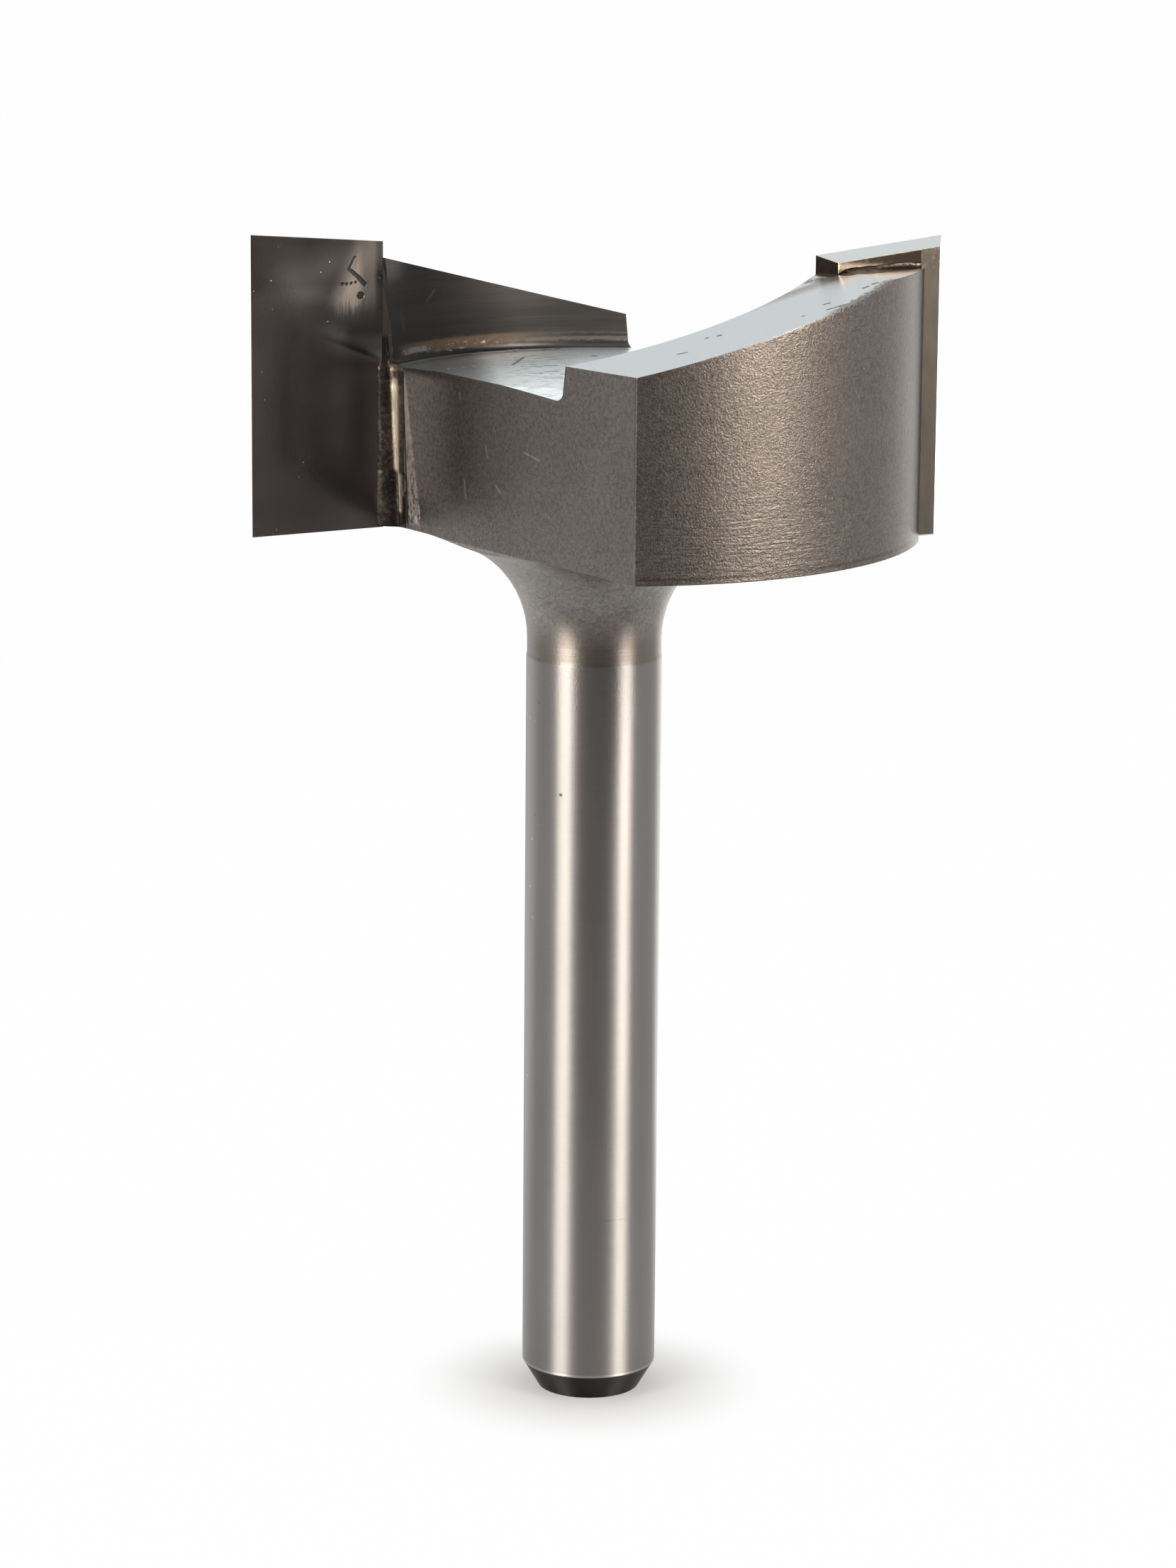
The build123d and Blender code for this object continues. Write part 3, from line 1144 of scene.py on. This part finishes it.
        # Partly painted reflection: the ground ends are far paler than the near-black faces, for the white
        # studio they mirror.
        colour = bench.blend(place.tops, colour, self._ends(spot, place))
        rough = 0.15 + 0.06 * (grain - 0.5) + 0.26 * strip * (1 - flank) + 0.08 * sheen
        relief = grain * 0.3 + brush * 0.25 * place.rake - 20.0 * scars - 6.0 * specks
        normal = bench.bumped(relief, self.relief, bench.rounded(self.edge_radius))
        bench.show(bench.metal(colour, rough, normal))
        return material

    def _sheen(self, spot: Spot, place: PlateSpot, brush: Field) -> Field:
        """Find the painted warm sheen near the left rake face's inner top.

        Args:
            spot: the point being shaded.
            place: the same point, from the cutting corner.
            brush: noise along the grinding marks.

        Returns:
            The sheen's strength, from 0 to 1.
        """
        along, z = place.along, spot.z
        sheen = (along - 0.5 * (z - self.patch_rise).most(0.0)).ramp(*self.patch_start)
        sheen = sheen * (1 - 0.55 * along.ramp(*self.patch_dim)) * along.ramp(*self.patch_end)
        sheen = sheen * (z + 0.9 * (brush - 0.5)).ramp(*self.patch_foot)
        sheen = sheen * (0.55 + 0.45 * z.ramp(*self.patch_head)) * (0.55 + 0.9 * brush) * place.left_rake
        return sheen.least(1.0)

    def _shade(self, spot: Spot, place: PlateSpot) -> Field:
        """Painted shade and light that even the rake face out: the real one is dark where this one mirrors
        the pocket and the cards, so it is darkened there and lightened lower down.

        Args:
            spot: the point being shaded.
            place: the same point, from the cutting corner.

        Returns:
            The factor on the face's colour.
        """
        along, z = place.along, spot.z
        corner_along, corner_height = self.veil_corner
        step = z - (corner_height + self.veil_slope * (corner_along - along))
        veil = along.ramp(*self.veil_across) * step.ramp(*self.veil_foot) * z.ramp(*self.veil_head)
        low = 0.3 + 1.3 * along.near(*self.low_across) * z.ramp(*self.low_foot)
        low = low * z.ramp(*self.low_head) * place.left_rake
        lit = 1.3 - 0.55 * z.ramp(*self.lit_up) + 0.5 * z.ramp(*self.lit_foot) * along.ramp(*self.lit_across)
        return lit * (1 - 0.91 * veil * place.left_rake) * (1 + low)

    def _sides(self, spot: Spot, place: PlateSpot, sizes: HeadSizes, colour: bpy.types.NodeSocket,
               masks: tuple[Field, Field, Field], cloud: Field) -> bpy.types.NodeSocket:
        """Colour the faces behind the rake face: the rear, its bare strip, the inner end and the flank.

        Args:
            spot: the point being shaded.
            place: the same point, from the cutting corner.
            sizes: places of the head's faces.
            colour: the rake face's colour.
            masks: the bare strip, the inner end and the flank.
            cloud: broad noise.

        Returns:
            The colour socket.
        """
        bench = spot.bench
        strip, inner, flank = masks
        bare = place.rear * spot.z.ramp(sizes.land - 0.1, sizes.land)
        colour = bench.blend(bare, colour, self.rear)
        streaks = bench.noise(spot.stretched(3.0, 0.8), 1.0, 3.0)
        colour = bench.blend(strip, colour, bench.scaled(self.strip, 0.7 + 0.6 * streaks))
        colour = bench.blend(inner, colour, bench.scaled(self.end_face, 0.6 + 0.8 * cloud))
        colour = bench.blend(flank, colour, self.flank)
        mottle = bench.noise(spot.whole(), 3.4, 4.0, 0.7)
        stain_and_shadow = (bare * mottle.ramp(0.5, 0.62) * 0.7).most(inner * mottle.ramp(0.5, 0.66) * 0.6)
        return bench.blend(stain_and_shadow, colour, self.stain_and_shadow)

    def _ends(self, spot: Spot, place: PlateSpot) -> bpy.types.NodeSocket:
        """Colour the ground top ends, with chips along their cutting edge.

        Args:
            spot: the point being shaded.
            place: the same point, from the cutting corner.

        Returns:
            The colour socket.
        """
        bench = spot.bench
        crumbs = bench.noise(bench.vector(place.along, 0.0, spot.z), 3.0, 3.0, 0.7)
        chips = place.depth.ramp(0.20, 0.02) * place.tops * crumbs.ramp(0.58, 0.66)
        fine = bench.noise(bench.vector(place.along * 1.5, place.depth * 16.0, 0.0), 1.0, 2.0)
        return bench.blend(chips * 0.6, bench.scaled(self.end, 0.9 + 0.2 * fine), self.chip)


@dataclass(frozen=True)
class BrazeFinish:
    """Silver solder: bare cream where it pooled and where a highlight is painted, gold to brown where flux
    and oxide are left on it.
    """

    stops: tuple[tuple[float, Colour], ...] = (
        (0.06, (0.013, 0.011, 0.010)),
        (0.30, (0.048, 0.038, 0.031)),
        (0.58, (0.150, 0.114, 0.078)),
        (1.0, (0.52, 0.45, 0.35)),
    )
    dull: float = 1.25
    relief: float = 0.012

    def build(self) -> bpy.types.Material:
        """Make the material; the meshes' own shine value says how bare of flux each place is, and where a
        highlight is painted.

        Returns:
            The material.
        """
        material, bench = new_material("braze_silver_finish")
        where = bench.spot().whole()
        shine = Field(bench, bench.node("ShaderNodeAttribute", {"attribute_name": SHINE}).outputs["Fac"])
        mottle = bench.noise(where, 5.5, 4.0, 0.7)
        fine = bench.noise(where, 14.0, 2.0)
        # The shine also carries painted highlights, where the meshes raise it.
        clean = shine + (self.dull - shine) * 0.95 * (mottle - 0.5) + 0.3 * (fine - 0.5)
        colour = bench.node("ShaderNodeValToRGB", {"stops": self.stops}, {0: clean}).outputs[0]
        rough = 0.40 - 0.2 * clean.least(1.0).most(0.0)
        relief = (0.7 * mottle + 0.3 * fine) * (self.dull - shine).most(0.0).least(1.0)
        bench.show(bench.metal(colour, rough, bench.bumped(relief, self.relief)))
        return material


class ShellDraft:
    """Closed shells gathered into one mesh, each point with its shine."""

    def __init__(self) -> None:
        """Start empty."""
        self.whole = bmesh.new()
        self.whole.verts.layers.float.new(SHINE)

    def add(self, front: Grid, back: Grid, shine: Sequence[Sequence[float]]) -> None:
        """Add a shell between two grids of points.

        Args:
            front: rows of points on the seen side, in millimetres.
            back: as many points on the hidden side.
            shine: a value for each point.
        """
        shell = bmesh.new()
        layer = shell.verts.layers.float.new(SHINE)
        sheets = []
        for grid in (front, back):
            sheet = [[shell.verts.new(point * MM) for point in row] for row in grid]
            for row, values in zip(sheet, shine):
                for vert, value in zip(row, values):
                    vert[layer] = value
            sheets.append(sheet)
        near, far = sheets
        last, side = len(near) - 1, len(near[0]) - 1
        for j in range(last):
            for k in range(side):
                seen = (near[j][k], near[j][k + 1], near[j + 1][k + 1], near[j + 1][k])
                shell.faces.new(seen).smooth = True
                shell.faces.new((far[j + 1][k], far[j + 1][k + 1], far[j][k + 1], far[j][k]))
            for k, turned in ((0, False), (side, True)):
                ring = (near[j][k], near[j + 1][k], far[j + 1][k], far[j][k])
                shell.faces.new(ring[::-1] if turned else ring)
        for j, turned in ((0, True), (last, False)):
            for k in range(side):
                ring = (near[j][k], near[j][k + 1], far[j][k + 1], far[j][k])
                shell.faces.new(ring[::-1] if turned else ring)
        bmesh.ops.remove_doubles(shell, verts=shell.verts, dist=2e-7)
        bmesh.ops.dissolve_degenerate(shell, edges=shell.edges, dist=1e-7)
        bmesh.ops.recalc_face_normals(shell, faces=shell.faces)
        done = bpy.data.meshes.new("shell")
        shell.to_mesh(done)
        shell.free()
        self.whole.from_mesh(done)
        bpy.data.meshes.remove(done)

    def finish(self, name: str, side: Side) -> bpy.types.Object:
        """Turn the gathered shells to their half of the bit and make the object.

        Args:
            name: the object's name.
            side: which half; the shells are drawn for the right one.

        Returns:
            The object.
        """
        if side is Side.LEFT:
            bmesh.ops.rotate(self.whole, verts=self.whole.verts, matrix=Matrix.Rotation(math.pi, 3, "Z"))
        mesh = bpy.data.meshes.new(name)
        self.whole.to_mesh(mesh)
        self.whole.free()
        made = bpy.data.objects.new(name, mesh)
        bpy.context.scene.collection.objects.link(made)
        return made


def smooth_through(knots: Sequence[Sequence[float]], share: float) -> list[float]:
    """Run smoothly through knots.

    Args:
        knots: at least two points of any length.
        share: how far along, from 0 to 1.

    Returns:
        The point there.
    """
    last = len(knots) - 1
    place = min(max(share, 0.0), 1.0) * last
    k = min(int(place), last - 1)
    t = place - k
    a, b, c, d = (knots[min(max(n, 0), last)] for n in range(k - 1, k + 3))
    weights = (-0.5 * t + t * t - 0.5 * t**3, 1 - 2.5 * t * t + 1.5 * t**3,
               0.5 * t + 2 * t * t - 1.5 * t**3, -0.5 * t * t + 0.5 * t**3)
    return [sum(w * p[n] for w, p in zip(weights, (a, b, c, d))) for n in range(len(b))]


def eased(value: float, low: float, high: float) -> float:
    """Smooth step from 0 at low to 1 at high; low may be the larger."""
    share = min(max((value - low) / (high - low), 0.0), 1.0)
    return share * share * (3 - 2 * share)


@dataclass
class BrazeJoint:
    """The solder of one plate: films behind it and at its end, a corner fillet and a bead behind its top.

    Section knots are (back along the rake face, forward along the gullet face, shine) from the corner, and
    bead knots are (along the plate's back, width, height), in millimetres. High shine in the sections paints
    cream into the fillet's highlight.
    """

    side: Side
    finish: bpy.types.Material
    sizes: HeadSizes = field(default_factory=HeadSizes)
    upper_section: tuple[Knot, ...] = (
        (0.70, 0.0, 0.08), (0.69, 0.03, 0.12), (0.672, 0.08, 0.08), (0.62, 0.17, 0.1), (0.45, 0.33, 0.12),
        (0.31, 0.44, 0.24), (0.25, 0.49, 0.32), (0.202, 0.563, 0.85), (0.163, 0.63, 1.6),
        (0.118, 0.73, 1.35), (0.085, 0.81, 0.4), (0.06, 0.90, 0.24), (0.016, 1.05, 0.16), (0.0, 1.10, -0.05),
    )
    lower_section: tuple[Knot, ...] = (
        (0.71, 0.0, 0.24), (0.70, 0.04, 0.3), (0.68, 0.1, 0.2), (0.62, 0.19, 0.1), (0.43, 0.36, 0.1),
        (0.28, 0.45, 0.14), (0.18, 0.52, 0.18), (0.142, 0.58, 0.4), (0.132, 0.65, 1.5), (0.10, 0.72, 1.8),
        (0.065, 0.80, 1.8), (0.02, 0.93, 1.0), (0.004, 1.02, 0.3), (0.0, 1.26, -0.05),
    )
    bead: tuple[Knot, ...] = (
        (2.05, 0.07, 0.22), (2.4, 0.26, 0.27), (3.1, 0.45, 0.27), (4.1, 0.68, 0.25),
        (5.3, 0.95, 0.20), (6.0, 0.9, 0.14), (6.35, 0.6, 0.07), (6.5, 0.15, 0.02),
    )
    jog_height: float = 43.95
    highlight_foot: float = 42.15
    fillet_top: float = 48.7
    fillet_rows: int = 150
    fillet_columns: int = 40
    hook_shine: float = 0.25
    slant: float = 0.09
    ripple: float = 0.014
    film_start: float = 1.96
    film_steps: int = 24
    film_rim_shine: float = 0.75
    hidden_shine: float = -0.2
    bead_gap: float = 0.001
    bead_root: float = 0.06
    bead_stations: int = 110
    bead_steps: int = 12
    bead_hollow: float = 0.24

    def build(self) -> bpy.types.Object:
        """Build and dress the joint, in place of its CAD node.

        Returns:
            The joint's object.
        """
        draft = ShellDraft()
        self._add_films(draft)
        self._add_fillet(draft)
        self._add_bead(draft)
        made = draft.finish(f"solder_{self.side.word}", self.side)
        made.data.materials.append(self.finish)
        node = f"braze_{self.side.word}"
        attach(made, "root")
        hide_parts(node)
        log.info("%s built in place of %s, %d faces", made.name, node, len(made.data.polygons))
        return made

    def _wander(self, x: float, z: float, scale: float) -> float:
        """Smooth uneven value from -1 to 1, different on each side."""
        return noise.noise(Vector((x * scale, z * scale, 7.3 * self.side.value)))

    def _add_films(self, draft: ShellDraft) -> None:
        """Add the thin solder behind the plate and at its inner end.

        Args:
            draft: where the shells are gathered.
        """
        sizes, steps = self.sizes, self.film_steps
        lean = math.tan(math.radians(sizes.end_lean))
        inner = sizes.plate_width - sizes.plate_thickness * lean
        seat = sizes.plate_thickness + sizes.film
        start = sizes.gullet_start()
        inner_seat = start + sizes.gullet_run() * (seat / math.cos(math.radians(sizes.end_lean)))
        rear = [self.film_start + (inner - self.film_start) * n / steps for n in range(steps + 1)]
        behind = [(sizes.beside_plate(a, sizes.plate_thickness), sizes.beside_plate(a, seat)) for a in rear]
        behind.append((behind[-1][0], inner_seat))
        end = []
        for n in range(steps + 1):
            share = n / steps
            plate = sizes.beside_plate(sizes.plate_width - sizes.plate_thickness * lean * share,
                                       sizes.plate_thickness * share)
            end.append((plate, start.lerp(inner_seat, share)))
        # Painted light: the film behind the plate gets a high shine at its outer rim, where it lies in shade.
        for pairs, rim in ((behind, self.film_rim_shine), (end, self.hidden_shine)):
            front: Grid = [[], []]
            back: Grid = [[], []]
            for pair in pairs:
                for grid, spot in zip((front, back), pair):
                    grid[0].append(Vector((spot.x, spot.y, sizes.underside)))
                    grid[1].append(Vector((spot.x, spot.y, sizes.top_at(spot))))
            draft.add(front, back, [[rim, rim] + [self.hidden_shine] * (len(pairs) - 2)] * 2)

    def _section(self, share: float, z: float) -> tuple[float, float, float]:
        """Find the fillet's section at a height.

        Args:
            share: place across the section, 0 on the plate and 1 on the gullet face.
            z: height.

        Returns:
            How far back, how far forward, and the shine.
        """
        upper = smooth_through(self.upper_section, share)
        lower = smooth_through(self.lower_section, share)
        uneven = z + 0.05 * self._wander(share * 4, z, 1.0)
        jog = eased(uneven, self.jog_height + 0.12, self.jog_height - 0.1)
        back, forward, shine = (u + (w - u) * jog for u, w in zip(upper, lower))
        slant = self.slant * math.sin(math.pi * share) ** 2 * (self.jog_height + 2.1 - z) / 4.2
        back, forward = back - slant, forward + 2 * slant
        thin = 1 - 0.8 * eased(z, self.fillet_top, self.fillet_top + 0.7)
        end = eased(z, self.highlight_foot - 0.25, self.highlight_foot + 0.3)
        end *= eased(z, self.fillet_top - 0.1, self.fillet_top - 0.8)
        if share > 0.3:
            shine = 0.04 + (shine - 0.04) * end
            # Painted highlight: a bright spot near the fillet's top.
            hook = eased(abs(z - self.fillet_top), 0.3, 0.1) * eased(abs(share - 0.52), 0.2, 0.08)
            shine += self.hook_shine * hook
        return back * (0.55 + 0.45 * thin), forward * thin, shine * thin - 0.5 * (1 - thin)

    def _add_fillet(self, draft: ShellDraft) -> None:
        """Add the fillet in the corner between the plate's end and the gullet face.

        Args:
            draft: where the shells are gathered.
        """
        sizes = self.sizes
        start, inward, run = sizes.gullet_start(), sizes.inward(), sizes.gullet_run()
        front, back, shines = [], [], []
        for j in range(self.fillet_rows + 1):
            share_up = j / self.fillet_rows
            rows = ([], [], [])
            for k in range(self.fillet_columns + 1):
                share = k / self.fillet_columns
                guess = sizes.underside + (self.fillet_top + 0.4 - sizes.underside) * share_up
                a, b, _ = self._section(share, guess)
                top = min(sizes.top_at(start - inward * a - run * b), self.fillet_top + 1.6)
                z = sizes.underside + (top - sizes.underside) * share_up
                a, b, shine = self._section(share, z)
                uneven = self._wander(share * 1.5, z, 0.9) + 0.15 * self._wander(share * 6, z, 3.5)
                ripple = self.ripple * math.sin(math.pi * share) ** 0.5 * uneven
                a, b = a + 0.7 * ripple, b + ripple
                if k == self.fillet_columns:
                    b += 0.05 * self._wander(1.0, z, 1.3)
                spot = start - inward * a - run * b
                hidden = start - inward * max(a, 0.0) if share < 0.45 else start - run * b
                rows[0].append(Vector((spot.x, spot.y, z)))
                rows[1].append(Vector((hidden.x, hidden.y, z)))
                rows[2].append(shine + 0.14 * self._wander(share * 3, z, 1.1))
            for grid, row in zip((front, back, shines), rows):
                grid.append(row)
        draft.add(front, back, shines)

    def _add_bead(self, draft: ShellDraft) -> None:
        """Add the bead along the foot of the plate's back, where the land meets it.

        Args:
            draft: where the shells are gathered.
        """
        sizes = self.sizes
        face = sizes.plate_thickness + self.bead_gap
        front, back, shines = [], [], []
        for j in range(self.bead_stations + 1):
            along, width, height = smooth_through(self.bead, j / self.bead_stations)
            width *= 1 + 0.16 * self._wander(along, 3.0, 1.7)
            height *= 1 + 0.22 * self._wander(along, 9.0, 2.4)
            rows = ([], [], [])
            for k in range(self.bead_steps + 1):
                share = k / self.bead_steps
                out = width * ((1 - share) ** 2 + self.bead_hollow * share * (1 - share))
                up = height * (share**2 + self.bead_hollow * share * (1 - share))
                lump = 0.016 * math.sin(math.pi * share) * self._wander(along, 5.0 + share, 5.0)
                spot = sizes.beside_plate(along, face + out)
                level = sizes.top_at(spot)
                rows[0].append(Vector((spot.x, spot.y, level + up + lump)))
                rows[1].append(Vector((spot.x, spot.y, level - self.bead_root)))
                rows[2].append(self._bead_shine(along, share))
            for grid, row in zip((front, back, shines), rows):
                grid.append(row)
        draft.add(front, back, shines)

    def _bead_shine(self, along: float, share: float) -> float:
        """Find the bead's shine, with a painted highlight line along its upper part.

        Args:
            along: place along the plate's back.
            share: place across the bead, 0 on the land and 1 on the plate.

        Returns:
            The shine.
        """
        bright = 0.42 * eased(share, 0.56, 0.66) * eased(share, 0.86, 0.76) * eased(along, 5.9, 5.2)
        broken = eased(along, 3.6, 2.6) * (0.5 + self._wander(along, share, 7.0))
        edge = eased(share, 0.0, 0.22) * eased(share, 1.0, 0.93)
        plain = 0.16 * edge * eased(along, 6.2, 5.2)
        return plain + bright * (1 - 0.9 * broken) + 0.2 * self._wander(along, share * 2, 3.0)


@dataclass
class RouterBit:
    """The bit: its five CAD nodes, dressed or replaced."""

    sizes: HeadSizes = field(default_factory=HeadSizes)
    steel: SteelFinish = field(default_factory=SteelFinish)
    carbide: CarbideFinish = field(default_factory=CarbideFinish)
    braze: BrazeFinish = field(default_factory=BrazeFinish)

    def build(self) -> None:
        """Give every CAD node its finish, and put the detailed solder in place of the plain one."""
        solder = self.braze.build()
        finishes = {
            "tool_body": self.steel.build(self.sizes),
            "carbide_tip": self.carbide.build(self.sizes),
            "braze": solder,
        }
        for name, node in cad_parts.items():
            finish = next(made for start, made in finishes.items() if name.startswith(start))
            for number in range(len(node.material_slots)):
                node.material_slots[number].material = finish
            log.info("%s dressed in %s", name, finish.name)
        for side in Side:
            BrazeJoint(side, solder, self.sizes).build()


@dataclass(frozen=True)
class Reflector:
    """A curved studio card that the metal's reflections see and nothing else does."""

    name: str
    start: float
    end: float
    profile: tuple[Point, ...]
    radiance: Colour
    steps: int = 24

    def build(self) -> None:
        """Sweep the card's profile about the bit's axis and give it its glow."""
        points, faces = [], []
        for n in range(self.steps + 1):
            turn = math.radians(self.start + (self.end - self.start) * n / self.steps)
            points += [(out * math.cos(turn), out * math.sin(turn), height) for out, height in self.profile]
        rows = len(self.profile)
        for n in range(self.steps):
            for k in range(rows - 1):
                a = n * rows + k
                faces.append((a, a + 1, a + 1 + rows, a + rows))
        card = new_mesh(self.name, points, faces)
        material, bench = new_material(self.name + "_glow")
        bench.show(bench.glow(self.radiance))
        card.data.materials.append(material)
        card.visible_camera = False
        card.visible_diffuse = False
        card.visible_transmission = False
        card.visible_shadow = False


@dataclass
class Studio:
    """Floor, world, lamps, reflecting cards and camera."""

    camera_place: tuple[float, float, float] = (-17.101, -236.161, 83.256)
    camera_right: tuple[float, float, float] = (0.997557, -0.069396, 0.008006)
    camera_up: tuple[float, float, float] = (0.007578, 0.221424, 0.975148)
    camera_back: tuple[float, float, float] = (-0.069445, -0.972705, 0.221409)
    lens: float = 118.804
    sensor: float = 36.0
    floor_radius: float = 1500.0
    floor_corners: int = 96
    floor_paper: Colour = (0.84, 0.835, 0.82)
    floor_fade: Step = (2.6, 9.0)
    world_light: Colour = (0.6, 0.605, 0.61)
    lamp_distance: float = 320.0
    lamp_width: float = 125.0
    lamp_strength: float = 3.0
    lamp_colour: Colour = (1.0, 0.96, 0.91)
    bright_left: Colour = (20.0, 19.0, 17.6)
    bright_right: Colour = (24.5, 22.9, 21.0)
    dim: Colour = (0.35, 0.33, 0.325)
    pale_right: Colour = (2.3, 2.3, 2.26)
    pale_left: Colour = (1.5, 1.5, 1.48)
    card_foot: float = 44.0
    card_top: float = 420.0
    card_distance: float = 300.0
    mat_profile: tuple[Point, ...] = ((36.0, 1.5), (60.0, 5.5), (150.0, 9.0))

    def build(self) -> None:
        """Set up everything around the bit."""
        self._camera()
        self._world()
        self._floor()
        self._cards()
        self._lamp("left_softbox", -144.5)
        self._lamp("right_softbox", -37.0)
        bpy.context.scene.view_settings.view_transform = "Standard"
        log.info("studio ready")

    def _cards(self) -> None:
        """The upright cards, and the low mats below the horizon that only the upright faces see."""
        foot = (self.card_distance, self.card_foot)
        wall = (foot, (self.card_distance, self.card_top))
        mat = (*self.mat_profile, foot)
        for name, start, end, profile, radiance in (
            ("dim_mat", -162.0, -17.0, mat, self.dim),
            ("dim_front", -132.0, -47.5, wall, self.dim),
            ("left_strip", -157.0, -132.0, wall, self.bright_left),
            ("right_strip", -47.5, -27.5, wall, self.bright_right),
            ("right_mat", 43.0, 82.0, mat, self.pale_right),
            ("left_mat", 118.0, 152.0, mat, self.pale_left),
        ):
            Reflector(name, start, end, profile, radiance).build()

    def _camera(self) -> None:
        """The photo's camera."""
        data = bpy.data.cameras.new("photo_camera")
        data.sensor_fit = "VERTICAL"
        data.sensor_height = self.sensor
        data.lens = self.lens
        data.clip_start = 0.01
        camera = bpy.data.objects.new("photo_camera", data)
        turn = Matrix((self.camera_right, self.camera_up, self.camera_back)).transposed().to_4x4()
        camera.matrix_world = Matrix.Translation(Vector(self.camera_place) * MM) @ turn
        bpy.context.scene.collection.objects.link(camera)
        bpy.context.scene.camera = camera

    def _world(self) -> None:
        """White for the rays that see the studio, plain grey light for the rest."""
        world = bpy.data.worlds.new("studio_world")
        bpy.context.scene.world = world
        world.use_nodes = True
        bench = Bench(world.node_tree)
        colour = bench.blend(bench.studio_rays(), self.world_light, WHITE)
        back = bench.node("ShaderNodeBackground", {}, {"Color": colour, "Strength": 1.0})
        bench.show(back.outputs[0], "World")

    def _floor(self) -> None:
        """A pale floor that keeps the bit's shadow and runs out to white."""
        count, radius = self.floor_corners, self.floor_radius
        turns = [math.tau * n / count for n in range(count)]
        rim = [(radius * math.cos(turn), radius * math.sin(turn), 0.0) for turn in turns]
        floor = new_mesh("studio_floor", rim, [tuple(range(count))])
        material, bench = new_material("pale_floor")
        out = bench.spot().out_from((0.0, 0.0)).ramp(*self.floor_fade)
        paper = bench.node("ShaderNodeBsdfDiffuse", {}, {"Color": self.floor_paper}).outputs[0]
        amount = bench.studio_rays() * (0.3 + 0.68 * out)
        bench.show(bench.joined(amount, paper, bench.glow(WHITE)))
        floor.data.materials.append(material)

    def _lamp(self, name: str, bearing: float) -> None:
        """A tall softbox that faces the bit.

        Args:
            name: the lamp's name.
            bearing: its direction from the axis, in degrees.
        """
        data = bpy.data.lights.new(name, "AREA")
        data.shape = "RECTANGLE"
        data.size = self.lamp_width * MM
        data.size_y = (self.card_top - self.card_foot) * MM
        data.energy = self.lamp_strength * math.pi * data.size * data.size_y
        data.color = self.lamp_colour
        lamp = bpy.data.objects.new(name, data)
        turn = math.radians(bearing)
        place = Vector((math.cos(turn), math.sin(turn), 0.0)) * self.lamp_distance
        place.z = (self.card_foot + self.card_top) / 2
        lamp.matrix_world = Matrix.Translation(place * MM) @ (
            Matrix.Rotation(turn + math.pi / 2, 4, "Z") @ Matrix.Rotation(math.pi / 2, 4, "X")
        )
        bpy.context.scene.collection.objects.link(lamp)


def main() -> None:
    """Build the scene in order."""
    RouterBit().build()
    Studio().build()


if __name__ == "__main__":
    main()
